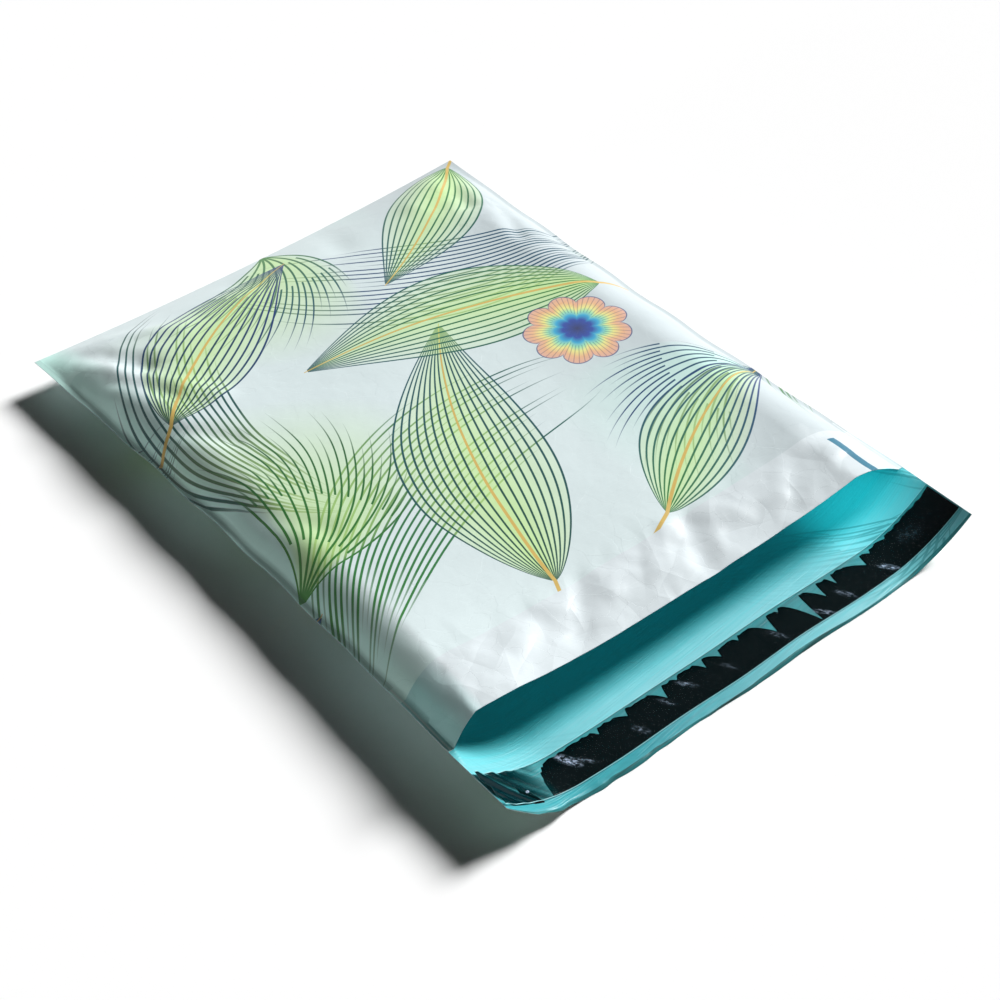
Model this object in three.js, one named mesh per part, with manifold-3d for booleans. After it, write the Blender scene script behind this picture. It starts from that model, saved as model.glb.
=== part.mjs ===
import * as THREE from 'three';
import { mergeVertices } from 'three/addons/utils/BufferGeometryUtils.js';
import Module from 'manifold-3d';

const wasm = await Module();
wasm.setup();

// A film mailing bag lying on its back, mouth open towards -Y, in millimetres.
// Across the bag is u, 0 in the middle. Along it is v: 0 at the mouth, growing towards the fold, below 0 on the flap.

// Overall sizes of the bag as it lies
const BAG_WIDTH = 243;
const BAG_LENGTH = 313;
const FLAP_LENGTH = 38.5;
const FILM_THICKNESS = 0.5;
const WELD_WIDTH = 2.5;
const HALF_WIDTH = BAG_WIDTH / 2;
const POUCH_END = BAG_LENGTH - FILM_THICKNESS;

// Zones with closely spaced points: behind the lip, in the crumpled band, before the fold
const LIP_ZONE = 8;
const CRUMPLED_ZONE = 40;
const FOLD_ZONE = 16;
const SHOULDER_ZONE = 20;
const BORDER_ZONE = 5;

// Height of the seam above the ground at the four corners
const SEAM_HEIGHT = { mouthLeft: 19.5, mouthRight: 16.5, foldLeft: 14, foldRight: 16 };
const WELD_TILT = 0.22;
const WELD_TILT_START = 30;

// Upper wall: how high it stands over the seam and how far in it becomes level
const TOP_RISE = 13;
const LEFT_SLOPE = { atMouth: 11, inside: 22, settles: 45 };
const RIGHT_SLOPE = { atMouth: 27, inside: 27, settles: 45 };
const FOLD_SLOPE = 62;
const LIP_SAG = 7;
const LIP_SAG_HALF_WIDTH = 103;
const LIP_SAG_REACH = 85;

// Lower wall and flap: how far in from the seams and the fold they reach the ground
const UNDER_SLOPE = 39;
const UNDER_FOLD_SLOPE = 50;
const WELD_FADE = 14;

// Outline seen from above: long sides and fold are drawn in a little by the filled height
const LEFT_PULL = 2.6;
const RIGHT_PULL = 2;
const FOLD_PULL = 4.7;
const SEAM_WAVE = 0.5;
const SEAM_WAVE_LENGTH = 47;
const FLAP_WAVE = 0.8;
const FLAP_WAVE_LENGTH = 64;
const CORNER_CUT = 5;
const CORNER_CUT_LENGTH = 13;

// Closing strip on the flap, measured from the mouth line
const STRIP_START = 13.7;
const STRIP_WIDTH = 19;
const STRIP_END = STRIP_START + STRIP_WIDTH;
const LAYER_GAP = 0.25;
const ADHESIVE_THICKNESS = 0.35;
const ADHESIVE_INSET = 0.6;
const LINER_THICKNESS = 0.25;
const LINER_SIDE_INSET = 0.4;

// Soft creases of the upper wall from one point to another in u and v, with half width and height, valleys below 0
const CREASES = [
  { from: [-106, 298], to: [-92, 262], halfWidth: 6, height: -3.2 },
  { from: [-92, 302], to: [-66, 278], halfWidth: 7, height: 1.8 },
  { from: [-110, 268], to: [-95, 236], halfWidth: 5, height: -2.2 },
  { from: [-97, 250], to: [-80, 222], halfWidth: 6, height: 1.2 },
  { from: [-108, 214], to: [-92, 190], halfWidth: 5, height: -1.6 },
  { from: [-112, 150], to: [-96, 118], halfWidth: 6, height: -1.2 },
  { from: [108, 300], to: [96, 264], halfWidth: 6, height: -3 },
  { from: [98, 304], to: [74, 284], halfWidth: 7, height: 1.6 },
  { from: [112, 262], to: [99, 226], halfWidth: 5, height: -2 },
  { from: [90, 277], to: [86, 272], halfWidth: 9, height: -1.6 },
  { from: [-30, 306], to: [-18, 284], halfWidth: 8, height: -1 },
  { from: [34, 305], to: [28, 280], halfWidth: 8, height: -1.2 },
  { from: [-112, 40], to: [-102, 12], halfWidth: 4, height: -1 },
  { from: [-100, 34], to: [-58, 26], halfWidth: 6, height: -1.3 },
  { from: [-84, 4], to: [-66, 22], halfWidth: 5, height: 1.4 },
  { from: [-52, 8], to: [-34, 30], halfWidth: 5, height: -1.4 },
  { from: [-24, 26], to: [6, 12], halfWidth: 5, height: 1.3 },
  { from: [14, 4], to: [24, 28], halfWidth: 5, height: -1.5 },
  { from: [34, 24], to: [62, 14], halfWidth: 5, height: 1.5 },
  { from: [62, 6], to: [82, 26], halfWidth: 5, height: -1.6 },
  { from: [84, 10], to: [104, 20], halfWidth: 5, height: 1.2 },
];

// Slow swell of the upper wall between the creases
const SWELL = 0.7;
const SWELL_ACROSS = 74;
const SWELL_ALONG = 96;
const SWELL_START = { across: 0.8, along: 0.4 };

// Gaps between the lobes of the adhesive, measured across: round shoulder at the left, steep side at the right
const ADHESIVE_GAPS = [
  { left: -66, tip: -63.5, right: -62, depth: 3.5 },
  { left: -54, tip: -49, right: -47.5, depth: 3.6 },
  { left: -35.5, tip: -31, right: -28.5, depth: 7 },
  { left: -24.5, tip: -22, right: -20, depth: 2.2 },
  { left: -12, tip: -9, right: -7.5, depth: 5 },
  { left: -5, tip: -0.5, right: 1, depth: 4.5 },
  { left: 8.5, tip: 10.5, right: 12, depth: 3 },
  { left: 19.5, tip: 25.5, right: 28, depth: 10 },
  { left: 31.5, tip: 33, right: 35, depth: 2.5 },
  { left: 38, tip: 44, right: 46, depth: 16.8 },
  { left: 49.5, tip: 54.5, right: 56, depth: 8.5 },
  { left: 61, tip: 63, right: 64.5, depth: 6 },
  { left: 72, tip: 80, right: 81.5, depth: 6.5 },
  { left: 82.5, tip: 86, right: 87.5, depth: 2.5 },
  { left: 92, tip: 95.5, right: 97, depth: 1.8 },
];

// Ragged left end of the adhesive and the smear beside it, as distances across and below the upper edge
const ADHESIVE_LEFT_END = [
  [-84, 0],
  [-90, 1.3],
  [-94, 5.5],
  [-93.4, 8],
  [-95.6, 9.8],
  [-95.2, 12],
  [-97, 13.6],
];
const ADHESIVE_SMEAR = [
  [-103.4, 16.6],
  [-106, 8.5],
  [-106.6, 5.2],
  [-108.3, 8.5],
  [-109.3, 13.3],
];
const ADHESIVE_BRIDGE = 1.2;
const ADHESIVE_TIP_WIDTH = 0.3;

// Slanting puckers at the free left end of the liner
const PUCKER = 1.1;
const PUCKER_LENGTH = 34;
const PUCKER_SPACING = 7.5;
const PUCKER_SLANT = 0.6;

// Distance over which the direction of a wall is measured
const NORMAL_STEP = 0.5;

function clamp01(value) {
  return Math.min(1, Math.max(0, value));
}

function smooth(value) {
  const t = clamp01(value);
  return t * t * (3 - 2 * t);
}

function mix(a, b, share) {
  return a + (b - a) * share;
}

// Rounded rise from 0 to 1 that starts steep and ends level
function rounded(value) {
  const t = clamp01(value);
  return 1 - (1 - t) * (1 - t);
}

// Rise with an almost straight flank and a visible shoulder
function shouldered(value) {
  const t = clamp01(value);
  return mix(t, rounded(t), 0.55);
}

// Height of the seam edge over the ground
function seamHeight(u, v) {
  const along = clamp01(v / BAG_LENGTH);
  const left = mix(SEAM_HEIGHT.mouthLeft, SEAM_HEIGHT.foldLeft, along);
  const right = mix(SEAM_HEIGHT.mouthRight, SEAM_HEIGHT.foldRight, along);
  return mix(left, right, (u + HALF_WIDTH) / BAG_WIDTH);
}

// Height of the plane in which the two walls are welded together
function weldHeight(u, v) {
  const inFromEdge = Math.min(HALF_WIDTH - Math.abs(u), WELD_WIDTH);
  const tilt = WELD_TILT * smooth(v / WELD_TILT_START) * smooth((BAG_LENGTH - v) / WELD_TILT_START);
  return seamHeight(u, v) + tilt * inFromEdge;
}

// Place in plan of a point of the film
function plan(u, v) {
  const along = clamp01(v / BAG_LENGTH);
  const across = u / HALF_WIDTH;
  const belly = Math.sin(Math.PI * along);
  const wave = SEAM_WAVE * belly * (1 - Math.cos((2 * Math.PI * v) / SEAM_WAVE_LENGTH));
  const pull = (u < 0 ? LEFT_PULL : RIGHT_PULL) * belly + wave;
  const foldPull = FOLD_PULL * (1 - across * across) * along * along * along;
  const flapShare = clamp01(-v / FLAP_LENGTH);
  const flapWave = FLAP_WAVE * flapShare * (0.5 - 0.5 * Math.cos((2 * Math.PI * u) / FLAP_WAVE_LENGTH));
  const beyondStrip = clamp01((-v - STRIP_END) / (FLAP_LENGTH - STRIP_END));
  const cornerCut = CORNER_CUT * beyondStrip * (1 - clamp01((u + HALF_WIDTH) / CORNER_CUT_LENGTH));
  return [u - pull * across, v - foldPull + Math.max(flapWave, cornerCut)];
}

function distanceToSegment(u, v, from, to) {
  const du = to[0] - from[0];
  const dv = to[1] - from[1];
  const share = clamp01(((u - from[0]) * du + (v - from[1]) * dv) / (du * du + dv * dv));
  return Math.hypot(u - from[0] - share * du, v - from[1] - share * dv);
}

// Creases and slow swell of the upper wall, before they fade out at the seams
function relief(u, v) {
  const swellAcross = Math.sin((Math.PI * u) / SWELL_ACROSS + SWELL_START.across);
  const swellAlong = Math.sin((Math.PI * v) / SWELL_ALONG + SWELL_START.along);
  let height = SWELL * swellAcross * swellAlong;
  for (const crease of CREASES) {
    const reach = distanceToSegment(u, v, crease.from, crease.to) / crease.halfWidth;
    height += crease.height * Math.exp(-reach * reach);
  }
  return height;
}

// Share of the full height reached by the upper wall
function topShare(u, v) {
  const slope = u < 0 ? LEFT_SLOPE : RIGHT_SLOPE;
  const run = mix(slope.atMouth, slope.inside, smooth(v / slope.settles));
  const fromWeld = HALF_WIDTH - WELD_WIDTH - Math.abs(u);
  return shouldered(fromWeld / run) * rounded((POUCH_END - v) / FOLD_SLOPE);
}

// Middle of the film thickness in the upper wall
function topMiddle(u, v) {
  const [x, y] = plan(u, v);
  const share = topShare(u, v);
  const sagAcross = clamp01(1 - (u / LIP_SAG_HALF_WIDTH) * (u / LIP_SAG_HALF_WIDTH));
  const sag = LIP_SAG * sagAcross * (1 - smooth(v / LIP_SAG_REACH));
  const height = share * (TOP_RISE + relief(u, v) - sag);
  return new THREE.Vector3(x, y, weldHeight(u, v) + FILM_THICKNESS / 2 + height);
}

// Middle of the film thickness in the lower wall and the flap
function bottomMiddle(u, v) {
  const [x, y] = plan(u, v);
  const weld = WELD_WIDTH * (1 - smooth(-v / WELD_FADE));
  const sideShare = rounded((HALF_WIDTH - weld - Math.abs(u)) / (UNDER_SLOPE - weld));
  const share = sideShare * rounded((POUCH_END - v) / UNDER_FOLD_SLOPE);
  const lift = FILM_THICKNESS / 2;
  return new THREE.Vector3(x, y, mix(weldHeight(u, v) - lift, lift, share));
}

// Point at a distance from the middle of a wall, square to the wall
function shifted(surface, u, v, distance) {
  const step = NORMAL_STEP;
  const along = surface(u, v + step).sub(surface(u, v - step));
  const across = surface(u + step, v).sub(surface(u - step, v));
  const normal = across.cross(along).normalize();
  return surface(u, v).addScaledVector(normal, distance);
}

// Evenly spaced values from start to end in a number of steps
function spaced(start, end, steps) {
  const values = [];
  for (let i = 0; i <= steps; i += 1) {
    values.push(mix(start, end, i / steps));
  }
  return values;
}

// Several runs of evenly spaced values joined into one list
function joined(stops) {
  const values = [stops[0].at];
  for (let i = 1; i < stops.length; i += 1) {
    values.push(...spaced(stops[i - 1].at, stops[i].at, stops[i].steps).slice(1));
  }
  return values;
}

// Collects points and faces of one closed solid
class Solid {
  constructor() {
    this.positions = [];
    this.faces = [];
  }

  point(vector) {
    this.positions.push(vector.x, vector.y, vector.z);
    return this.positions.length / 3 - 1;
  }

  face(...corners) {
    for (let i = 2; i < corners.length; i += 1) {
      this.faces.push(corners[0], corners[i - 1], corners[i]);
    }
  }

  // Quads between rows of points; turned makes them face down instead of up
  sheet(rows, turned = false) {
    for (let j = 1; j < rows.length; j += 1) {
      for (let i = 1; i < rows[j].length; i += 1) {
        const quad = [rows[j - 1][i - 1], rows[j - 1][i], rows[j][i], rows[j][i - 1]];
        this.face(...(turned ? quad.reverse() : quad));
      }
    }
  }

  // Triangles between two runs of points with different spacing
  strip(outer, inner, turned) {
    let i = 0;
    let j = 0;
    while (i < outer.length - 1 || j < inner.length - 1) {
      const outerLeft = i < outer.length - 1;
      const innerLeft = j < inner.length - 1;
      const stepOuter = outerLeft && (!innerLeft || outer[i + 1].at <= inner[j + 1].at);
      const corners = stepOuter
        ? [outer[i].point, outer[i + 1].point, inner[j].point]
        : [outer[i].point, inner[j + 1].point, inner[j].point];
      this.face(...(turned ? corners.reverse() : corners));
      if (stepOuter) {
        i += 1;
      } else {
        j += 1;
      }
    }
  }

  geometry() {
    const geometry = new THREE.BufferGeometry();
    geometry.setAttribute('position', new THREE.Float32BufferAttribute(this.positions, 3));
    geometry.setIndex(this.faces);
    geometry.computeVertexNormals();
    return geometry;
  }
}

// Columns across the bag: close together on the slopes, wider on the level part
function columnPlaces() {
  const inner = HALF_WIDTH - WELD_WIDTH;
  return joined([
    { at: -HALF_WIDTH },
    { at: -inner, steps: 1 },
    { at: -inner + LEFT_SLOPE.atMouth, steps: 3 },
    { at: -inner + LEFT_SLOPE.inside, steps: 3 },
    { at: inner - RIGHT_SLOPE.inside, steps: 22 },
    { at: inner, steps: 6 },
    { at: HALF_WIDTH, steps: 1 },
  ]);
}

// Rows along the pouch: close together at the mouth and at the fold
function rowPlaces() {
  return joined([
    { at: 0 },
    { at: LIP_ZONE, steps: 2 },
    { at: CRUMPLED_ZONE, steps: 7 },
    { at: POUCH_END - FOLD_SLOPE - SHOULDER_ZONE, steps: 17 },
    { at: POUCH_END - FOLD_ZONE, steps: 9 },
    { at: POUCH_END, steps: 4 },
  ]);
}

// Rows along the flap, from its outer edge to the mouth
function flapPlaces() {
  return joined([
    { at: -FLAP_LENGTH },
    { at: -STRIP_END, steps: 1 },
    { at: -STRIP_START, steps: 3 },
    { at: 0, steps: 2 },
  ]);
}

// Wide-meshed inside of a wall that joins a close-meshed border without gaps
function widePatch(solid, border, makePoint, turned) {
  const { columns, rows } = border;
  const inner = HALF_WIDTH - WELD_WIDTH;
  const level = HALF_WIDTH - UNDER_SLOPE;
  const us = joined([
    { at: -inner + BORDER_ZONE },
    { at: -level, steps: 4 },
    { at: level, steps: 4 },
    { at: inner - BORDER_ZONE, steps: 4 },
  ]);
  const vs = joined([
    { at: LIP_ZONE },
    { at: POUCH_END - UNDER_FOLD_SLOPE, steps: 5 },
    { at: POUCH_END - BORDER_ZONE, steps: 5 },
  ]);
  const grid = vs.map((v) => us.map((u) => makePoint(u, v)));
  solid.sheet(grid, turned);
  const lastRow = grid.length - 1;
  const lastColumn = us.length - 1;
  const nearRow = us.map((u, i) => ({ at: u, point: grid[0][i] }));
  const farRow = us.map((u, i) => ({ at: -u, point: grid[lastRow][i] })).reverse();
  const rightColumn = vs.map((v, j) => ({ at: v, point: grid[j][lastColumn] }));
  const leftColumn = vs.map((v, j) => ({ at: -v, point: grid[j][0] })).reverse();
  const nearEdge = border.near.map((point, i) => ({ at: columns[i], point }));
  const farEdge = border.far.map((point, i) => ({ at: -columns[i], point })).reverse();
  const rightEdge = border.right.map((point, j) => ({ at: rows[j], point }));
  const leftEdge = border.left.map((point, j) => ({ at: -rows[j], point })).reverse();
  solid.strip(nearEdge, nearRow, turned);
  solid.strip(rightEdge, rightColumn, turned);
  solid.strip(farEdge, farRow, turned);
  solid.strip(leftEdge, leftColumn, turned);
}

// The bag: upper wall, fold, lower wall and flap are one film, welded along both long sides
function buildFilmBag() {
  const solid = new Solid();
  const us = columnPlaces();
  const vs = rowPlaces();
  const flapVs = flapPlaces();
  const half = FILM_THICKNESS / 2;
  const lastU = us.length - 1;
  const lastV = vs.length - 1;
  const inWeld = (i) => i === 0 || i === lastU;
  const onWeldLine = (i) => i === 1 || i === lastU - 1;

  const weldPoint = (u, v, lift) => {
    const [x, y] = plan(u, v);
    return solid.point(new THREE.Vector3(x, y, weldHeight(u, v) + lift));
  };
  const outsideTop = vs.map((v, j) => us.map((u, i) => (
    inWeld(i) || onWeldLine(i) || j === lastV
      ? weldPoint(u, v, FILM_THICKNESS)
      : solid.point(shifted(topMiddle, u, v, half))
  )));
  const outsideBottomAt = (u, v) => solid.point(shifted(bottomMiddle, u, v, -half));
  const outsideBottomEdge = (i, v) => (
    inWeld(i) || onWeldLine(i) ? weldPoint(us[i], v, -FILM_THICKNESS) : outsideBottomAt(us[i], v)
  );
  const nearBottom = us.map((u, i) => outsideBottomEdge(i, 0));
  const farBottom = us.map((u) => weldPoint(u, POUCH_END, -FILM_THICKNESS));
  const sideBottom = [0, 1, lastU - 1, lastU].map((i) => vs.map((v, j) => {
    if (j === 0) {
      return nearBottom[i];
    }
    return j === lastV ? farBottom[i] : outsideBottomEdge(i, v);
  }));

  // Inner faces: the upper and lower one share their points along the welds and the fold
  const insideTop = vs.map((v, j) => us.map((u, i) => {
    if (inWeld(i)) {
      return -1;
    }
    return onWeldLine(i) || j === lastV ? weldPoint(u, v, 0) : solid.point(shifted(topMiddle, u, v, -half));
  }).slice(1, lastU));
  const mouthFloor = us.map((u, i) => {
    if (onWeldLine(i)) {
      return insideTop[0][i - 1];
    }
    return inWeld(i) ? weldPoint(u, 0, 0) : solid.point(shifted(bottomMiddle, u, 0, half));
  });

  solid.sheet(outsideTop);
  solid.sheet(insideTop, true);
  const innerUs = us.slice(1, lastU);
  widePatch(solid, {
    columns: innerUs,
    rows: vs,
    near: mouthFloor.slice(1, lastU),
    far: insideTop[lastV],
    left: insideTop.map((row) => row[0]),
    right: insideTop.map((row) => row[row.length - 1]),
  }, (u, v) => solid.point(shifted(bottomMiddle, u, v, half)), false);
  widePatch(solid, {
    columns: innerUs,
    rows: vs,
    near: nearBottom.slice(1, lastU),
    far: farBottom.slice(1, lastU),
    left: sideBottom[1],
    right: sideBottom[2],
  }, outsideBottomAt, true);
  solid.sheet(vs.map((v, j) => [sideBottom[0][j], sideBottom[1][j]]), true);
  solid.sheet(vs.map((v, j) => [sideBottom[2][j], sideBottom[3][j]]), true);

  // The fold at the closed end, half a turn of film from the upper to the lower wall
  const foldTurns = [0.25, 0.5, 0.75];
  const foldRows = foldTurns.map((turn) => us.map((u) => {
    const [x, y] = plan(u, POUCH_END);
    const angle = Math.PI * turn;
    const z = weldHeight(u, POUCH_END) + FILM_THICKNESS * Math.cos(angle);
    return solid.point(new THREE.Vector3(x, y + FILM_THICKNESS * Math.sin(angle), z));
  }));
  solid.sheet([outsideTop[lastV], ...foldRows, farBottom]);
  solid.face(outsideTop[lastV][0], ...foldRows.map((row) => row[0]), farBottom[0]);
  solid.face(farBottom[lastU], ...foldRows.map((row) => row[lastU]).reverse(), outsideTop[lastV][lastU]);

  // Cut edges of the welds, the last cell at the mouth meets the flap in the middle of its height
  for (let j = 1; j < lastV; j += 1) {
    solid.face(outsideTop[j][0], outsideTop[j + 1][0], sideBottom[0][j + 1], sideBottom[0][j]);
    solid.face(outsideTop[j][lastU], sideBottom[3][j], sideBottom[3][j + 1], outsideTop[j + 1][lastU]);
  }
  const [leftBottom, , , rightBottom] = sideBottom;
  const [lip, behindLip] = outsideTop;
  solid.face(mouthFloor[0], lip[0], behindLip[0], leftBottom[1], nearBottom[0]);
  solid.face(mouthFloor[lastU], nearBottom[lastU], rightBottom[1], behindLip[lastU], lip[lastU]);

  // Lip of the upper wall and the ends of the welds at the mouth
  const lipUnder = mouthFloor.map((point, i) => (
    inWeld(i) || onWeldLine(i) ? point : insideTop[0][i - 1]
  ));
  for (let i = 0; i < lastU; i += 1) {
    solid.face(outsideTop[0][i], lipUnder[i], lipUnder[i + 1], outsideTop[0][i + 1]);
  }

  // Flap: the lower wall carried on past the mouth, with its three cut edges
  const insideBottomAt = (u, v) => solid.point(shifted(bottomMiddle, u, v, half));
  const flapTop = flapVs.slice(0, -1).map((v) => us.map((u) => insideBottomAt(u, v)));
  const flapUnder = flapVs.slice(0, -1).map((v) => us.map((u) => outsideBottomAt(u, v)));
  flapTop.push(mouthFloor);
  flapUnder.push(nearBottom);
  solid.sheet(flapTop);
  solid.sheet(flapUnder, true);
  for (let j = 0; j < flapTop.length - 1; j += 1) {
    solid.face(flapTop[j][0], flapTop[j + 1][0], flapUnder[j + 1][0], flapUnder[j][0]);
    solid.face(flapTop[j][lastU], flapUnder[j][lastU], flapUnder[j + 1][lastU], flapTop[j + 1][lastU]);
  }
  for (let i = 0; i < lastU; i += 1) {
    solid.face(flapTop[0][i], flapUnder[0][i], flapUnder[0][i + 1], flapTop[0][i + 1]);
  }
  return solid.geometry();
}

// A layer lying on the flap between two lines across it, at a height over the film
function buildLayer(rows, columns, lowAt, highAt) {
  const solid = new Solid();
  const low = rows.map((v) => columns.map((u) => solid.point(shifted(bottomMiddle, u, v, lowAt(u, v)))));
  const high = rows.map((v) => columns.map((u) => solid.point(shifted(bottomMiddle, u, v, highAt(u, v)))));
  const lastRow = rows.length - 1;
  const lastColumn = columns.length - 1;
  solid.sheet(high);
  solid.sheet(low, true);
  for (let j = 0; j < lastRow; j += 1) {
    solid.face(high[j][0], high[j + 1][0], low[j + 1][0], low[j][0]);
    solid.face(high[j][lastColumn], low[j][lastColumn], low[j + 1][lastColumn], high[j + 1][lastColumn]);
  }
  for (let i = 0; i < lastColumn; i += 1) {
    solid.face(high[0][i], low[0][i], low[0][i + 1], high[0][i + 1]);
    solid.face(high[lastRow][i], high[lastRow][i + 1], low[lastRow][i + 1], low[lastRow][i]);
  }
  return solid.geometry();
}

function toManifold(geometry) {
  const plain = geometry.clone();
  plain.deleteAttribute('normal');
  plain.deleteAttribute('uv');
  const merged = mergeVertices(plain, 1e-4);
  const mesh = new wasm.Mesh({
    numProp: 3,
    vertProperties: new Float32Array(merged.attributes.position.array),
    triVerts: new Uint32Array(merged.index.array),
  });
  return new wasm.Manifold(mesh);
}

function fromManifold(manifold) {
  const mesh = manifold.getMesh();
  const geometry = new THREE.BufferGeometry();
  geometry.setAttribute('position', new THREE.BufferAttribute(new Float32Array(mesh.vertProperties), 3));
  geometry.setIndex(new THREE.BufferAttribute(new Uint32Array(mesh.triVerts), 1));
  geometry.computeVertexNormals();
  return geometry;
}

// Outline of the adhesive from above: straight lower edge, gaps in the upper edge, ragged left end
function adhesiveOutline() {
  const upper = -STRIP_START - ADHESIVE_INSET;
  const lower = -STRIP_END + ADHESIVE_INSET;
  const right = HALF_WIDTH - LINER_SIDE_INSET - ADHESIVE_INSET;
  const points = [[right, lower], [right, upper]];
  for (const gap of [...ADHESIVE_GAPS].reverse()) {
    points.push([gap.right, upper]);
    points.push([mix(gap.tip, gap.right, 0.4), upper - gap.depth * 0.55]);
    points.push([gap.tip + ADHESIVE_TIP_WIDTH, upper - gap.depth]);
    points.push([gap.tip - ADHESIVE_TIP_WIDTH, upper - gap.depth]);
    points.push([mix(gap.left, gap.tip, 0.55), upper - gap.depth * 0.3]);
    points.push([gap.left, upper]);
  }
  points.push(...ADHESIVE_LEFT_END.map(([across, below]) => [across, upper - below]));
  points.push([ADHESIVE_LEFT_END[ADHESIVE_LEFT_END.length - 1][0], lower + ADHESIVE_BRIDGE]);
  points.push(...ADHESIVE_SMEAR.map(([across, below]) => [across, upper - below]));
  points.push([ADHESIVE_SMEAR[ADHESIVE_SMEAR.length - 1][0] + 1, lower]);
  return points.map(([x, y]) => new THREE.Vector2(x, y));
}

function stripColumns(sideInset) {
  const inside = columnPlaces().slice(1, -1);
  return [-HALF_WIDTH + sideInset, ...inside, HALF_WIDTH - sideInset];
}

function buildAdhesiveBand() {
  const base = FILM_THICKNESS / 2 + LAYER_GAP;
  const rows = joined([{ at: -STRIP_END }, { at: -STRIP_START, steps: 3 }]);
  const layer = buildLayer(rows, stripColumns(0), () => base, () => base + ADHESIVE_THICKNESS);
  const tall = SEAM_HEIGHT.mouthLeft * 2;
  const shape = new THREE.Shape(adhesiveOutline());
  const cutter = new THREE.ExtrudeGeometry(shape, { depth: tall, bevelEnabled: false });
  cutter.translate(0, 0, -tall / 4);
  return fromManifold(toManifold(layer).intersect(toManifold(cutter)));
}

// The clear liner lies over the adhesive and stands up in slanting puckers at its free left end
function buildReleaseLiner() {
  const base = FILM_THICKNESS / 2 + LAYER_GAP + ADHESIVE_THICKNESS + LAYER_GAP;
  const rows = joined([{ at: -STRIP_END }, { at: -STRIP_START, steps: 3 }]);
  const leftEnd = -HALF_WIDTH + LINER_SIDE_INSET;
  const columns = joined([
    { at: leftEnd },
    { at: leftEnd + PUCKER_LENGTH, steps: 14 },
    { at: -leftEnd, steps: 30 },
  ]);
  const lift = (u, v) => {
    const amount = 1 - smooth((u - leftEnd) / PUCKER_LENGTH);
    const place = u - leftEnd + PUCKER_SLANT * (v + STRIP_END);
    const wave = 0.5 - 0.5 * Math.cos((2 * Math.PI * place) / PUCKER_SPACING);
    return base + PUCKER * amount * wave;
  };
  return buildLayer(rows, columns, lift, (u, v) => lift(u, v) + LINER_THICKNESS);
}

function namedMesh(name, geometry, color, roughness) {
  const mesh = new THREE.Mesh(geometry, new THREE.MeshStandardMaterial({ color, roughness, metalness: 0 }));
  mesh.name = name;
  mesh.position.set(0, (FLAP_LENGTH - BAG_LENGTH) / 2, 0);
  return mesh;
}

const bag = new THREE.Group();
bag.name = 'poly_mailer_bag';
bag.add(namedMesh('film_bag', buildFilmBag(), 0xdcebed, 0.32));
bag.add(namedMesh('adhesive_band', buildAdhesiveBand(), 0x050506, 0.16));
bag.add(namedMesh('release_liner', buildReleaseLiner(), 0x8cc4c8, 0.1));

export default bag;
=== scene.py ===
import math

import bpy
import numpy as np
from mathutils import Matrix


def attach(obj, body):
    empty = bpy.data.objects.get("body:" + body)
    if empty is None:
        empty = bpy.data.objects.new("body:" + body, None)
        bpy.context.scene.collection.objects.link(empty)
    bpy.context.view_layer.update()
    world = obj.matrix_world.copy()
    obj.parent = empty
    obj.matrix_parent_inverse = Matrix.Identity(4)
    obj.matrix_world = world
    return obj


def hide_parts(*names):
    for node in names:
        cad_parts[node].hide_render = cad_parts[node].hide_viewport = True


bl_info = {
    "name": "Poly mailer bag",
    "version": (1, 0, 0),
    "blender": (4, 5, 0),
    "location": "View3D > Sidebar > Mailer",
    "description": "Builds a printed film mailing bag with its adhesive band and release liner",
    "category": "Object",
}

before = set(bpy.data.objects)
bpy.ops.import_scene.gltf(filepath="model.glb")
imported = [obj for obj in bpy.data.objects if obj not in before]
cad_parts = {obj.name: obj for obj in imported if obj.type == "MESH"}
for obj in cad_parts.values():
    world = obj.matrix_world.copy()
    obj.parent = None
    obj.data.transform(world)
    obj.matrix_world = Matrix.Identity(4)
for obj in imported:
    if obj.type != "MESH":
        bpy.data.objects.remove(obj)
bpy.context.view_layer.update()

# All lengths below are in millimetres until a mesh is made.
MM = 0.001

# Sizes of the film bag, the same as in the solids
BAG_WIDTH = 243.0
BAG_LENGTH = 313.0
FLAP_LENGTH = 38.5
WALL = 0.5
WELD_WIDTH = 2.5
HALF_WIDTH = BAG_WIDTH / 2
POUCH_END = BAG_LENGTH - WALL
MIDDLE = (BAG_LENGTH - FLAP_LENGTH) / 2
SEAM_MOUTH_LEFT, SEAM_MOUTH_RIGHT = 19.5, 16.5
SEAM_FOLD_LEFT, SEAM_FOLD_RIGHT = 14.0, 16.0
WELD_TILT, WELD_TILT_START = 0.22, 30.0
TOP_RISE = 13.0
LEFT_SLOPE = (11.0, 18.0)
RIGHT_SLOPE = (27.0, 27.0)
SHOULDER_ROUNDING = (0.55, 0.92)
SLOPE_SETTLES = 45.0
FOLD_SLOPE = 62.0
LIP_SAG, LIP_SAG_HALF_WIDTH, LIP_SAG_REACH = 7.0, 103.0, 85.0
UNDER_SLOPE, UNDER_FOLD_SLOPE, WELD_FADE = 39.0, 50.0, 14.0
LEFT_PULL, RIGHT_PULL, FOLD_PULL = 2.6, 2.0, 4.7
SEAM_WAVE, SEAM_WAVE_LENGTH = 0.5, 47.0
FLAP_WAVE, FLAP_WAVE_LENGTH = 0.8, 64.0
CORNER_CUT, CORNER_CUT_LENGTH = 5.0, 13.0
STRIP_START, STRIP_WIDTH = 13.7, 19.0
STRIP_END = STRIP_START + STRIP_WIDTH
SWELL, SWELL_ACROSS, SWELL_ALONG = 0.7, 74.0, 96.0
FLAP_LIFT, CURL = 1.3, 1.5
RIPPLE, RIPPLE_LENGTH, RIPPLE_REACH = 0.7, 19.0, 55.0

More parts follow.
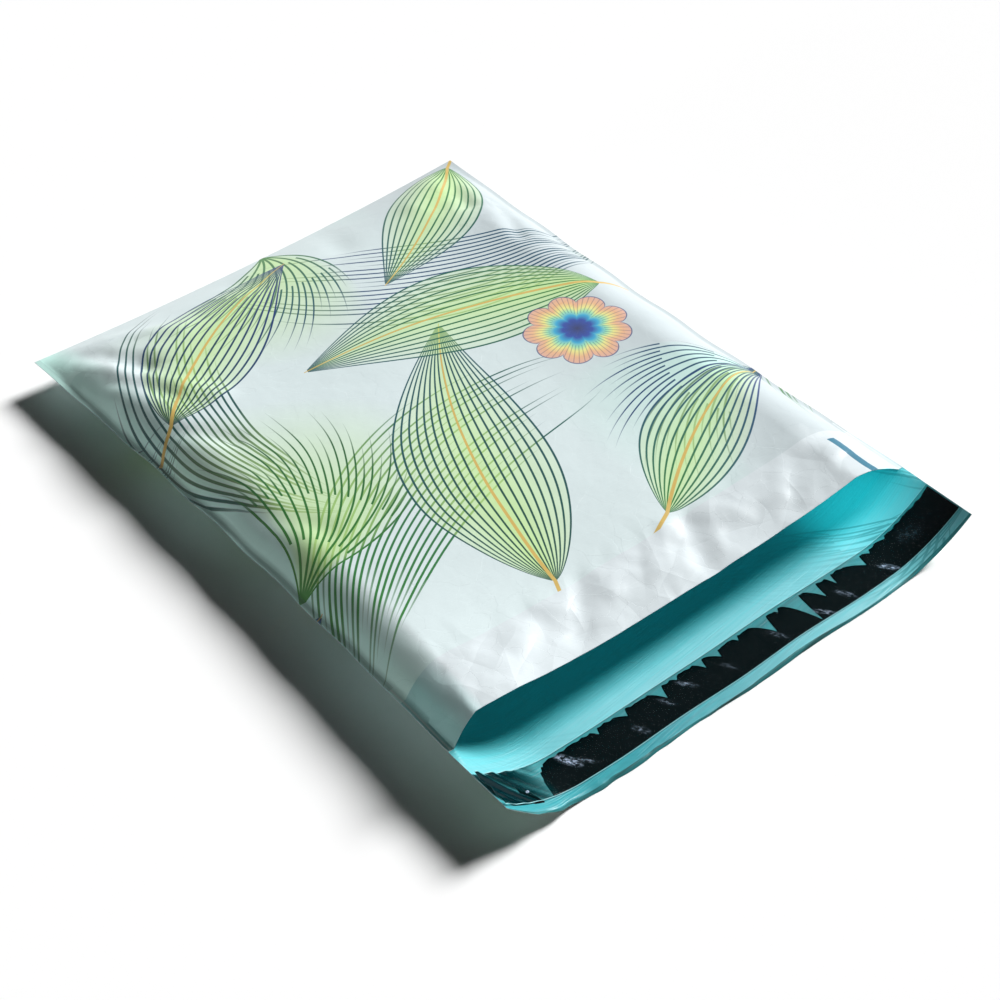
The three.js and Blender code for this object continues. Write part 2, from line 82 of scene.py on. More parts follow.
# Soft creases of the upper wall: from u, v to u, v, half width, height
CREASES = np.array([
    (-106, 298, -92, 262, 6, -3.2), (-92, 302, -66, 278, 7, 1.8), (-110, 268, -95, 236, 5, -2.2),
    (-97, 250, -80, 222, 6, 1.2), (-108, 214, -92, 190, 5, -1.6), (-112, 150, -96, 118, 6, -1.2),
    (108, 300, 96, 264, 6, -3), (98, 304, 74, 284, 7, 1.6), (112, 262, 99, 226, 5, -2),
    (90, 277, 86, 272, 9, -1.6), (-30, 306, -18, 284, 8, -1), (34, 305, 28, 280, 8, -1.2),
    (-112, 40, -102, 12, 4, -1), (-100, 34, -58, 26, 6, -1.3), (-84, 4, -66, 22, 5, 1.4),
    (-52, 8, -34, 30, 5, -1.4), (-24, 26, 6, 12, 5, 1.3), (14, 4, 24, 28, 5, -1.5),
    (34, 24, 62, 14, 5, 1.5), (62, 6, 82, 26, 5, -1.6), (84, 10, 104, 20, 5, 1.2),
])

# The creases behind the lip are half as high in the thin film as in the solids
SOFTER_AT_MOUTH = np.ones_like(CREASES)
SOFTER_AT_MOUTH[CREASES[:, 1] < 45, 5] = 0.45

# Gaps between the lobes of the adhesive: left, tip, right, depth
ADHESIVE_GAPS = (
    (-66, -63.5, -62, 3.5), (-54, -49, -47.5, 3.6), (-35.5, -31, -28.5, 7), (-24.5, -22, -20, 2.2),
    (-12, -9, -7.5, 5), (-5, -0.5, 1, 4.5), (8.5, 10.5, 12, 3), (19.5, 25.5, 28, 10),
    (31.5, 33, 35, 2.5), (38, 44, 46, 17.3), (49.5, 54.5, 56, 8.5), (61, 63, 64.5, 6),
    (72, 80, 81.5, 6.5), (82.5, 86, 87.5, 2.5), (92, 95.5, 97, 1.8),
)

# The map of the film: outer side and inner side lie next to each other on a square sheet
MAP_SIDE = 680.0
MAP_MARGIN = 6.0
MAP_INNER = 0.4
MAP_RIMS = 0.8
MAP_NAME = "OFBake"
RIM_MAP = 0.004

# Unprinted band behind the lip
BLANK_BAND = 31.0


def clamp01(value):
    return np.clip(value, 0.0, 1.0)


def smooth(value):
    t = clamp01(value)
    return t * t * (3 - 2 * t)


def mix(a, b, share):
    return a + (b - a) * share


def rounded(value):
    t = clamp01(value)
    return 1 - (1 - t) ** 2


def shouldered(value, rounding):
    t = clamp01(value)
    return mix(t, rounded(t), rounding)


def seam_height(u, v):
    """Height of the seam edge: straight between its four corner heights along the bag and across it."""
    along = clamp01(v / BAG_LENGTH)
    left = mix(SEAM_MOUTH_LEFT, SEAM_FOLD_LEFT, along)
    right = mix(SEAM_MOUTH_RIGHT, SEAM_FOLD_RIGHT, along)
    return mix(left, right, (u + HALF_WIDTH) / BAG_WIDTH)


def weld_height(u, v):
    """Seam height plus a small tilt times the distance in from the edge, up to the weld's width."""
    inside = np.minimum(HALF_WIDTH - np.abs(u), WELD_WIDTH)
    tilt = WELD_TILT * smooth(v / WELD_TILT_START) * smooth((BAG_LENGTH - v) / WELD_TILT_START)
    return seam_height(u, v) + tilt * inside


def plan(u, v):
    """Place from above: u and v with the long sides drawn in by a half sine and the fold by a parabola."""
    along = clamp01(v / BAG_LENGTH)
    across = u / HALF_WIDTH
    belly = np.sin(np.pi * along)
    wave = SEAM_WAVE * belly * (1 - np.cos(2 * np.pi * v / SEAM_WAVE_LENGTH))
    pull = np.where(u < 0, LEFT_PULL, RIGHT_PULL) * belly + wave
    fold_pull = FOLD_PULL * (1 - across ** 2) * along ** 3
    flap_wave = FLAP_WAVE * clamp01(-v / FLAP_LENGTH) * (0.5 - 0.5 * np.cos(2 * np.pi * u / FLAP_WAVE_LENGTH))
    beyond = clamp01((-v - STRIP_END) / (FLAP_LENGTH - STRIP_END))
    cut = CORNER_CUT * beyond * (1 - clamp01((u + HALF_WIDTH) / CORNER_CUT_LENGTH))
    return u - pull * across, v - fold_pull + np.maximum(flap_wave, cut)


def facets(u, v, spacing, turn, seed):
    """Flat triangles between random heights from -0.5 to 0.5 on a turned, gently bent square lattice."""
    bent_u = u + 0.25 * spacing * np.sin(v / spacing * 1.7 + 1)
    bent_v = v + 0.25 * spacing * np.sin(u / spacing * 1.9 + 2)
    a = (bent_u * math.cos(turn) + bent_v * math.sin(turn)) / spacing
    b = (bent_v * math.cos(turn) - bent_u * math.sin(turn)) / spacing
    i, j = np.floor(a).astype(int), np.floor(b).astype(int)
    a, b = a - i, b - j
    heights = np.random.default_rng(seed).uniform(-0.5, 0.5, (64, 64))
    corner = heights[i % 64, j % 64]
    across, along = heights[(i + 1) % 64, j % 64], heights[i % 64, (j + 1) % 64]
    far = heights[(i + 1) % 64, (j + 1) % 64]
    lower = corner + (across - corner) * a + (far - across) * b
    upper = corner + (far - along) * a + (along - corner) * b
    return np.where(a > b, lower, upper)


def bump_at(u, v, centre_u, centre_v, reach_u, reach_v):
    return np.exp(-((u - centre_u) / reach_u) ** 2 - ((v - centre_v) / reach_v) ** 2)


def fine_relief(u, v):
    """Crumpled facets, strong behind the lip and at the closed corners, and short puckers along the welds."""
    band = (1 - smooth((v - 24) / 16)) * (0.35 + 0.65 * smooth(v / 9))
    amount = (1.5 * band + 1.7 * bump_at(u, v, -101, 272, 22, 40) + 1.6 * bump_at(u, v, 104, 272, 18, 32)
              + 0.5 * np.exp(-((u + 106) / 13) ** 2) + 0.10)
    crumple = amount * (facets(u, v, 19, 0.5, 4) + 0.35 * facets(u, v, 8, 1.2, 5))
    from_weld = HALF_WIDTH - WELD_WIDTH - np.abs(u)
    strength = clamp01(0.5 + np.sin(v / 23.0 + np.sign(u)) * np.sin(v / 61.0 + 2))
    pucker = 0.4 * strength * np.sin(2 * np.pi * v / 7.7 + 1.7 * np.sin(v / 15)) * np.exp(-from_weld / 8)
    return crumple + pucker


def relief(u, v):
    """Slow swell, the named creases as smooth ridges and valleys, and the fine relief."""
    height = SWELL * np.sin(np.pi * u / SWELL_ACROSS + 0.8) * np.sin(np.pi * v / SWELL_ALONG + 0.4)
    for u0, v0, u1, v1, half, rise in CREASES * SOFTER_AT_MOUTH:
        du, dv = u1 - u0, v1 - v0
        share = clamp01(((u - u0) * du + (v - v0) * dv) / (du * du + dv * dv))
        reach = np.hypot(u - u0 - share * du, v - v0 - share * dv) / half
        height += rise * np.exp(-reach ** 2)
    return height + fine_relief(u, v)


def upper_wall(u, v, thick):
    """Upper wall: weld height plus a shouldered rise from the sides times a rounded rise from the fold."""
    x, y = plan(u, v)
    at_mouth = np.where(u < 0, LEFT_SLOPE[0], RIGHT_SLOPE[0])
    inside = np.where(u < 0, LEFT_SLOPE[1], RIGHT_SLOPE[1])
    settled = smooth(v / SLOPE_SETTLES)
    run = mix(at_mouth, inside, settled)
    across = shouldered((HALF_WIDTH - WELD_WIDTH - np.abs(u)) / run, mix(*SHOULDER_ROUNDING, settled))
    share = across * rounded((POUCH_END - v) / FOLD_SLOPE)
    sag = LIP_SAG * clamp01(1 - (u / LIP_SAG_HALF_WIDTH) ** 2) * (1 - smooth(v / LIP_SAG_REACH))
    z = weld_height(u, v) + 0.6 * thick + share * (TOP_RISE + relief(u, v) - sag)
    return np.stack([x, y, z], axis=-1)


def lower_wall(u, v, thick):
    """Lower wall and flap: from weld height down to the ground on a rounded flank, level in the middle, with a
    ripple that grows towards the cut edge and dies out to the right."""
    x, y = plan(u, v)
    weld = WELD_WIDTH * (1 - smooth(-v / WELD_FADE))
    side = rounded((HALF_WIDTH - weld - np.abs(u)) / (UNDER_SLOPE - weld))
    share = side * rounded((POUCH_END - v) / UNDER_FOLD_SLOPE)
    beyond = clamp01((-v - FLAP_LENGTH + CURL) / CURL)
    lift = FLAP_LIFT * smooth(-v / STRIP_START) * (1 - beyond ** 2) * (0.75 + 0.25 * np.sin(u / 19.0))
    ripple = RIPPLE * smooth((-v - STRIP_END) / (FLAP_LENGTH - STRIP_END)) * np.exp(-(u + HALF_WIDTH) / RIPPLE_REACH)
    ripple = ripple * np.sin(2 * np.pi * u / RIPPLE_LENGTH + 0.8 * np.sin(u / 4.0))
    y = y + ripple
    lift = lift + np.abs(ripple) * (1 - beyond)
    z = mix(weld_height(u, v) - 0.6 * thick, 0.5 * thick + lift, share)
    return np.stack([x, y, z], axis=-1)


def square_to(points):
    """Unit vectors square to a grid of points, pointing to the side from which the grid runs anticlockwise."""
    normal = np.cross(np.gradient(points, axis=1), np.gradient(points, axis=0))
    return normal / np.maximum(np.linalg.norm(normal, axis=-1, keepdims=True), 1e-9)


def grid_quads(rows, columns, start):
    """Corner numbers of the quads of a grid whose points are numbered row by row."""
    j, i = np.meshgrid(np.arange(rows - 1), np.arange(columns - 1), indexing="ij")
    first = start + j * columns + i
    return np.stack([first, first + 1, first + columns + 1, first + columns], axis=-1).reshape(-1, 4)


def grid_map(across, along):
    """Map corners of the same quads, from a value for each column and a value for each row."""
    table = np.stack(np.meshgrid(across, along), axis=-1)
    return np.stack([table[:-1, :-1], table[:-1, 1:], table[1:, 1:], table[1:, :-1]], axis=2).reshape(-1, 4, 2)


def rim_map(run, level, standing=False):
    """Map of a rim: a narrow strip at a level, lying across the map or standing along its height."""
    near = np.stack([run, np.full_like(run, level)], axis=-1)
    far = near + np.array([0.0, RIM_MAP])
    return (near[:, ::-1], far[:, ::-1]) if standing else (near, far)


def slab(points, thick, outer_map, inner_map, rim_maps):
    """Closed sheet: the grid pushed out and in by half its thickness, with a rim along its four edges.
    Returns points, quads and map corners."""
    rows, columns = points.shape[:2]
    thickness = np.broadcast_to(np.asarray(thick, float), points.shape[:2])[..., None]
    normal = square_to(points)
    count = rows * columns
    number = np.arange(count).reshape(rows, columns)
    faces = [grid_quads(rows, columns, 0), grid_quads(rows, columns, count)[:, ::-1]]
    maps = [outer_map, inner_map[:, ::-1]]
    edges = ((number[0], False), (number[-1], True), (number[:, 0], True), (number[:, -1], False))
    for (run, turned), (near, far) in zip(edges, rim_maps):
        quads = np.stack([run[:-1] + count, run[1:] + count, run[1:], run[:-1]], axis=-1)
        corners = np.stack([near[:-1], near[1:], far[1:], far[:-1]], axis=1)
        faces.append(quads[:, ::-1] if turned else quads)
        maps.append(corners[:, ::-1] if turned else corners)
    both = [(points + normal * thickness * side).reshape(-1, 3) for side in (0.5, -0.5)]
    return np.concatenate(both), np.concatenate(faces), np.concatenate(maps)


def new_piece(name, vertices, quads, corners, material):
    """Mesh object at the origin from points in bag coordinates, with its map and one material."""
    placed = (vertices - np.array([0.0, MIDDLE, 0.0])) * MM
    mesh = bpy.data.meshes.new(name)
    mesh.from_pydata(placed.tolist(), [], quads.tolist())
    layer = mesh.uv_layers.new(name=MAP_NAME)
    layer.data.foreach_set("uv", np.ascontiguousarray(corners, dtype=np.float32).ravel())
    mesh.polygons.foreach_set("use_smooth", np.ones(len(quads), dtype=bool))
    mesh.set_sharp_from_angle(angle=math.radians(52))
    mesh.materials.append(material)
    mesh.validate()
    mesh.update()
    piece = bpy.data.objects.new(name, mesh)
    bpy.context.scene.collection.objects.link(piece)
    return piece


def steps(*stops):
    """Values from stop to stop, each stop given as place and number of steps to it."""
    values = [np.array([stops[0]], float)]
    for place, count in stops[1:]:
        values.append(np.linspace(values[-1][-1], place, count + 1)[1:])
    return np.concatenate(values)


def film_columns():
    weld = HALF_WIDTH - WELD_WIDTH
    return steps(-HALF_WIDTH, (-weld, 2), (-86, 24), (86, 102), (weld, 22), (HALF_WIDTH, 2))


def build_film(thick, material):
    """One film: upper wall from the lip to the fold, half a turn, lower wall back to the mouth and on into the flap."""
    columns = film_columns()
    upper = steps(0.0, (8, 7), (46, 31), (236, 80), (POUCH_END, 48))
    lower = steps(POUCH_END, (236, 24), (20, 40), (0, 8), (-STRIP_START, 8), (-STRIP_END, 8),
                  (-FLAP_LENGTH + CURL, 3), (-FLAP_LENGTH, 5))
    u, v = np.meshgrid(columns, upper)
    top = upper_wall(u, v, thick)
    u, v = np.meshgrid(columns, lower)
    under = lower_wall(u, v, thick)
    turn = np.linspace(0, np.pi, 9)[1:-1, None]
    x, y = plan(columns, np.full_like(columns, POUCH_END))
    fold_height = weld_height(columns, np.full_like(columns, POUCH_END))
    fold = np.stack(np.broadcast_arrays(
        x, y + 0.6 * thick * np.sin(turn), fold_height + 0.6 * thick * np.cos(turn)), axis=-1)
    points = np.concatenate([top, fold, under])
    along = np.concatenate([upper, POUCH_END + turn[:, 0] / np.pi, 2 * POUCH_END + 1 - lower])
    across_map = (columns + HALF_WIDTH + MAP_MARGIN) / MAP_SIDE
    along_map = (along + MAP_MARGIN) / MAP_SIDE
    rims = [rim_map(run, MAP_RIMS + 2 * RIM_MAP * k, standing=True)
            for k, run in enumerate((across_map, across_map, along_map, along_map))]
    shape = slab(points, thick, grid_map(across_map, along_map), grid_map(across_map + MAP_INNER, along_map), rims)
    return new_piece("film_bag_printed", *shape, material)


def over_flap(u, v, height):
    """Points at a height over the middle of the film of the flap, square to it."""
    base = lower_wall(u, v, 0.0)
    facing = square_to(base)
    facing = np.where(facing[..., 2:3] < 0, -facing, facing)
    return base + facing * height[..., None]


def gap_depth(u):
    """Depth of the upper edge of the adhesive at u: round shoulders falling to a tip, then a steep side."""
    depth = 0.5 + 0.4 * np.sin(u / 1.3) * np.sin(u / 3.1 + 1) + 0.15 * np.sin(u / 0.61)
    for left, tip, right, deep in ADHESIVE_GAPS:
        left = tip - 1.7 * (tip - left)
        falling = clamp01((u - left) / (tip - left)) ** 2.0 * (u <= tip)
        rising = clamp01((right - u) / (right - tip)) ** 1.4 * (u > tip)
        depth = np.maximum(depth, deep * np.maximum(falling, rising))
    end = np.interp(-u, [84, 86, 90, 93, 94.5, 95.6, 96.4, 97, 97.4], [0, 0.2, 1.4, 4.2, 6.5, 9.8, 12.5, 15, 17.6])
    ragged = 0.5 * np.sin(u * 3.1) * (u < -90)
    return np.maximum(depth, end + ragged)


def adhesive_shell(columns, upper, lower, film, thick, map_base):
    """Crowned layer between a lower and an upper edge given for each column."""
    share = np.array([0, 0.015, 0.05, 0.12, 0.25, 0.4, 0.55, 0.7, 0.82, 0.91, 0.96, 0.985, 1.0])
    v = mix(lower[None, :], upper[None, :], share[:, None])
    u = np.broadcast_to(columns, v.shape)
    from_edge = np.minimum(share, 1 - share)[:, None] * np.maximum(upper - lower, 0.4)
    lumps = 0.5 + facets(u, v, 4.5, 0.7, 8)
    depth = 0.03 + thick * rounded(from_edge / 1.2) * (0.7 + 0.3 * lumps)
    points = over_flap(u, v, film + 0.02 + depth / 2)
    length = 0.02 + 0.94 * (columns - columns[0]) / (columns[-1] - columns[0])
    along = map_base + 0.18 * share
    rims = [rim_map(run, map_base + 0.39 + 2 * RIM_MAP * k) for k, run in enumerate((length, length, share, share))]
    return slab(points, depth, grid_map(length, along), grid_map(length, along + 0.19), rims)


def build_adhesive(film, thick, material):
    """The long lobed band and the small smear at its left end, two crowned layers in one piece."""
    upper_edge, lower_edge = -STRIP_START - 0.7, -STRIP_END + 0.6
    columns = np.arange(-97.4, HALF_WIDTH - 0.4, 0.34)
    depth = np.minimum(gap_depth(columns), upper_edge - lower_edge - 0.3)
    band = adhesive_shell(columns, upper_edge - depth, np.full_like(columns, lower_edge), film / 2, thick, 0.02)
    columns = np.linspace(-109.3, -102.8, 26)
    top = np.interp(columns, [-109.3, -108.3, -106.6, -105.8, -104, -102.8], [-27.5, -23, -19.4, -22.3, -29, -33])
    low = np.interp(columns, [-109.3, -108.4, -107.5, -104, -102.8], [-28.0, -31.5, -33.1, -33.4, -33.4])
    smear = adhesive_shell(columns, np.maximum(top, low + 0.3), low, film / 2, thick, 0.52)
    vertices, quads, corners = (np.concatenate(pair) for pair in zip(band, smear))
    quads[len(band[1]):] += len(band[0])
    return new_piece("adhesive_lobes", vertices, quads, corners, material)


def liner_lift(u, v):
    """Slanting puckers at the free left end, fading to the right, and faint waves all along."""
    from_end = u + HALF_WIDTH
    amount = 1.25 * (1 - smooth(from_end / 33))
    place = from_end + 0.75 * (v + STRIP_END) + 1.3 * np.sin(v / 5)
    folds = 0.5 + 0.5 * np.arcsin(0.97 * np.sin(2 * np.pi * place / 6.7)) * 2 / np.pi
    faint = 0.10 * (0.5 + 0.5 * np.sin(u / 4.6 + 0.5 * np.sin(v / 3))) * (0.5 + 0.5 * np.sin(u / 17))
    return amount * folds * (0.4 + 0.6 * smooth((v + STRIP_END) / 12)) + faint


def build_liner(film, over, thick, material):
    """Thin strip over the whole width at a height above the adhesive, pushed up by the puckers."""
    columns = steps(-HALF_WIDTH + 0.3, (-84, 90), (HALF_WIDTH - 0.3, 200))
    rows = np.linspace(-STRIP_END, -STRIP_START, 25)
    u, v = np.meshgrid(columns, rows)
    points = over_flap(u, v, film / 2 + over + liner_lift(u, v))
    across = 0.02 + 0.96 * (columns + HALF_WIDTH) / BAG_WIDTH
    along = 0.05 + 0.35 * (rows + STRIP_END) / STRIP_WIDTH
    rims = [rim_map(run, 0.88 + 2 * RIM_MAP * k) for k, run in enumerate((across, across, along, along))]
    shape = slab(points, thick, grid_map(across, along), grid_map(across, along + 0.4), rims)
    return new_piece("release_liner_clear", *shape, material)


class Nodes:
    """Short ways to add and link shader nodes in one tree."""

    def __init__(self, tree):
        self.tree = tree

    def add(self, kind, **settings):
        node = self.tree.nodes.new(kind)
        for key, value in settings.items():
            setattr(node, key, value)
        return node

    def put(self, socket, value):
        if isinstance(value, bpy.types.NodeSocket):
            self.tree.links.new(value, socket)
        else:
            socket.default_value = value

    def math(self, operation, *values, clamp=False):
        node = self.add("ShaderNodeMath", operation=operation, use_clamp=clamp)
        for socket, value in zip(node.inputs, values):
            self.put(socket, value)
        return node.outputs[0]

    def blend(self, share, first, second):
        node = self.add("ShaderNodeMix", data_type="RGBA")
        self.put(node.inputs["Factor"], share)
        self.put(node.inputs[6], first)
        self.put(node.inputs[7], second)
        return node.outputs[2]

    def edge(self, width, distance, softness=0.22):
        """1 where the distance is under the width, 0 beyond it, with a soft step between."""
        over = self.math("SUBTRACT", width, distance)
        return self.math("ADD", self.math("DIVIDE", over, softness), 0.5, clamp=True)

    def chance(self, number):
        """A value from 0 to 1 that looks random for each whole number."""
        wave = self.math("SINE", self.math("ADD", self.math("MULTIPLY", number, 12.9898), 4.1))
        return self.math("FRACT", self.math("MULTIPLY", wave, 437.58))

    def noise(self, vector, scale, detail=3.0, roughness=0.5):
        node = self.add("ShaderNodeTexNoise")
        self.put(node.inputs["Vector"], vector)
        self.put(node.inputs["Scale"], scale)
        self.put(node.inputs["Detail"], detail)
        self.put(node.inputs["Roughness"], roughness)
        return node.outputs["Fac"]


def motif_group(name, numbers):
    """Empty node group with the map place, the colour and ink so far, colours and the named numbers."""
    tree = bpy.data.node_groups.new(name, "ShaderNodeTree")
    sockets = tree.interface
    for label in ("U", "V", "Ink", "Cos", "Sin", "Centre U", "Centre V", "Ahead", "Repeat U", "Repeat V", *numbers):
        sockets.new_socket(label, in_out="INPUT", socket_type="NodeSocketFloat")
    for label in ("Base", "Near", "Far", "Wash", "Rib"):
        sockets.new_socket(label, in_out="INPUT", socket_type="NodeSocketColor")
    sockets.new_socket("Colour", in_out="OUTPUT", socket_type="NodeSocketColor")
    sockets.new_socket("Ink", in_out="OUTPUT", socket_type="NodeSocketFloat")
    n = Nodes(tree)
    given = n.add("NodeGroupInput").outputs
    out = n.add("NodeGroupOutput").inputs
    half_u = n.math("MULTIPLY", given["Repeat U"], 0.5)
    half_v = n.math("MULTIPLY", given["Repeat V"], 0.5)
    du = n.math("WRAP", n.math("SUBTRACT", given["U"], given["Centre U"]), half_u, n.math("MULTIPLY", half_u, -1.0))
    dv = n.math("WRAP", n.math("SUBTRACT", given["V"], given["Centre V"]), half_v, n.math("MULTIPLY", half_v, -1.0))
    a = n.math("ADD", n.math("MULTIPLY", du, given["Cos"]), n.math("MULTIPLY", dv, given["Sin"]))
    a = n.math("ADD", a, given["Ahead"])
    b = n.math("SUBTRACT", n.math("MULTIPLY", dv, given["Cos"]), n.math("MULTIPLY", du, given["Sin"]))
    return tree, n, given, out, a, b


def finish_motif(n, given, out, line, wash, rib, shade):
    colour = n.blend(wash, given["Base"], given["Wash"])
    colour = n.blend(line, colour, n.blend(shade, given["Near"], given["Far"]))
    colour = n.blend(rib, colour, given["Rib"])
    n.put(out["Colour"], colour)
    n.put(out["Ink"], n.math("MAXIMUM", given["Ink"], n.math("MAXIMUM", line, rib)))


def leaf_group():
    """Broad leaf: veins run from stalk to tip at even shares of the half width W sin(pi t^0.8), t being the
    share of the length; the midrib is bowed and the outermost vein is the outline."""
    tree, n, given, out, a, b = motif_group(
        "leaf motif", ("Length", "Width", "Bend", "Count", "Line", "Wash Amount"))
    t = n.math("DIVIDE", a, given["Length"], clamp=True)
    bow = n.math("MULTIPLY", n.math("MULTIPLY", t, n.math("SUBTRACT", 1.0, t)), given["Bend"])
    off = n.math("SUBTRACT", b, bow)
    wave = n.math("SINE", n.math("MULTIPLY", n.math("POWER", t, 0.8), math.pi))
    width = n.math("MAXIMUM", n.math("MULTIPLY", wave, given["Width"]), 0.05)
    m = n.math("DIVIDE", off, width)
    apart = n.math("ABSOLUTE", m)
    k = n.math("MULTIPLY", m, given["Count"])
    vein = n.math("ROUND", k)
    away = n.math("DIVIDE", n.math("MULTIPLY", n.math("ABSOLUTE", n.math("SUBTRACT", k, vein)), width), given["Count"])
    inside = n.math("MULTIPLY", n.math("LESS_THAN", n.math("ABSOLUTE", vein), n.math("ADD", given["Count"], 0.1)),
                    n.math("GREATER_THAN", wave, 0.03))
    thin = n.math("MULTIPLY", given["Line"], n.math("POWER", wave, 0.4))
    line = n.math("MULTIPLY", n.edge(thin, away), inside)
    filled = n.math("MULTIPLY", n.math("LESS_THAN", apart, 1.0), inside)
    wash = n.math("MULTIPLY", n.math("MULTIPLY", filled, given["Wash Amount"]),
                  n.math("SUBTRACT", 1.1, n.math("ADD", n.math("MULTIPLY", apart, 0.6), n.math("MULTIPLY", t, 0.45)), clamp=True))
    rib = n.math("MULTIPLY", n.edge(n.math("SUBTRACT", 0.85, n.math("MULTIPLY", t, 0.6)), n.math("ABSOLUTE", off)),
                 n.math("MULTIPLY", n.math("GREATER_THAN", a, -16.0), n.math("LESS_THAN", a, given["Length"])))
    shade = n.math("ADD", n.math("MULTIPLY", apart, 0.35), n.math("MULTIPLY", t, 0.8), clamp=True)
    finish_motif(n, given, out, line, wash, rib, shade)
    return tree


def fan_group():
    """Grass tuft: rays from one point at even angles, fewer near the point, ending unevenly."""
    tree, n, given, out, a, b = motif_group(
        "tuft motif", ("Radius", "Spread", "Curl", "Pitch", "Line", "Wash Amount"))
    r = n.math("SQRT", n.math("ADD", n.math("MULTIPLY", a, a), n.math("MULTIPLY", b, b)))
    angle = n.math("SUBTRACT", n.math("ARCTAN2", b, a), n.math("MULTIPLY", given["Curl"], r))
    share = n.math("DIVIDE", r, given["Radius"], clamp=True)
    coarse = n.math("ADD", n.math("LESS_THAN", share, 0.45), 1.0)
    coarse = n.math("ADD", coarse, n.math("MULTIPLY", n.math("LESS_THAN", share, 0.22), 2.0))
    pitch = n.math("MULTIPLY", given["Pitch"], coarse)
    ray = n.math("ROUND", n.math("DIVIDE", angle, pitch))
    q = n.math("DIVIDE", n.math("ABSOLUTE", angle), given["Spread"])
    bulge = n.math("SUBTRACT", 1.0, n.math("MULTIPLY", n.math("MULTIPLY", q, q), 0.3))
    uneven = n.math("SUBTRACT", 1.0, n.math("MULTIPLY", n.chance(ray), 0.22))
    left_over = n.math("SUBTRACT", n.math("MULTIPLY", bulge, uneven), share)
    taper = n.math("POWER", n.math("MULTIPLY", left_over, 5.0, clamp=True), 0.6)
    inside = n.math("MULTIPLY", taper, n.math("LESS_THAN", q, 1.0))
    across = n.math("MULTIPLY", n.math("ABSOLUTE", n.math("SUBTRACT", angle, n.math("MULTIPLY", ray, pitch))), r)
    thin = n.math("MULTIPLY", n.math("MULTIPLY", given["Line"], taper),
                  n.math("SUBTRACT", 1.25, n.math("MULTIPLY", share, 0.7)))
    line = n.math("MULTIPLY", n.edge(thin, across), inside)
    fade = n.math("MULTIPLY", n.math("SUBTRACT", 1.0, n.math("POWER", q, 4.0), clamp=True),
                  n.math("SUBTRACT", 1.0, n.math("POWER", share, 1.5)))
    wash = n.math("MULTIPLY", fade, given["Wash Amount"])
    finish_motif(n, given, out, line, wash, 0.0, share)
    return tree


def blade_group():
    """Bundle of arcs about a far centre; the bundle opens with t^0.6 and closes with (1-t)^0.35."""
    tree, n, given, out, a, b = motif_group(
        "blade motif", ("Length", "Width", "Bow Radius", "Count", "Line"))
    far = n.math("ADD", b, given["Bow Radius"])
    r = n.math("SQRT", n.math("ADD", n.math("MULTIPLY", a, a), n.math("MULTIPLY", far, far)))
    off = n.math("SUBTRACT", r, given["Bow Radius"])
    arc = n.math("MULTIPLY", n.math("ARCTAN2", a, far), given["Bow Radius"])
    t = n.math("ADD", n.math("DIVIDE", arc, given["Length"]), 0.5, clamp=True)
    rest = n.math("SUBTRACT", 1.0, t)
    height = n.math("MULTIPLY", n.math("MULTIPLY", n.math("POWER", t, 0.6), n.math("POWER", rest, 0.35)),
                    given["Width"])
    k = n.math("MULTIPLY", n.math("DIVIDE", off, n.math("MAXIMUM", height, 0.05)), given["Count"])
    blade = n.math("ROUND", k)
    chance = n.chance(blade)
    from_ends = n.math("MINIMUM", n.math("SUBTRACT", t, n.math("MULTIPLY", chance, 0.15)),
                       n.math("SUBTRACT", rest, n.math("MULTIPLY", chance, 0.35)))
    taper = n.math("POWER", n.math("MULTIPLY", from_ends, 7.0, clamp=True), 0.6)
    inside = n.math("MULTIPLY", n.math("LESS_THAN", n.math("ABSOLUTE", blade), n.math("ADD", given["Count"], 0.1)), taper)
    away = n.math("DIVIDE", n.math("MULTIPLY", n.math("ABSOLUTE", n.math("SUBTRACT", k, blade)), height), given["Count"])
    thin = n.math("MULTIPLY", n.math("MULTIPLY", given["Line"], taper),
                  n.math("SUBTRACT", 1.2, n.math("MULTIPLY", t, 0.55)))
    line = n.math("MULTIPLY", n.edge(thin, away), inside)
    finish_motif(n, given, out, line, 0.0, 0.0, t)
    return tree


BLOOM_RAMP = (
    (0.0, (0.004, 0.012, 0.10)), (0.28, (0.008, 0.05, 0.33)), (0.42, (0.03, 0.38, 0.62)), (0.55, (0.36, 0.75, 0.45)),
    (0.66, (0.83, 0.80, 0.28)), (0.82, (0.82, 0.48, 0.26)), (1.0, (0.72, 0.42, 0.34)),
)


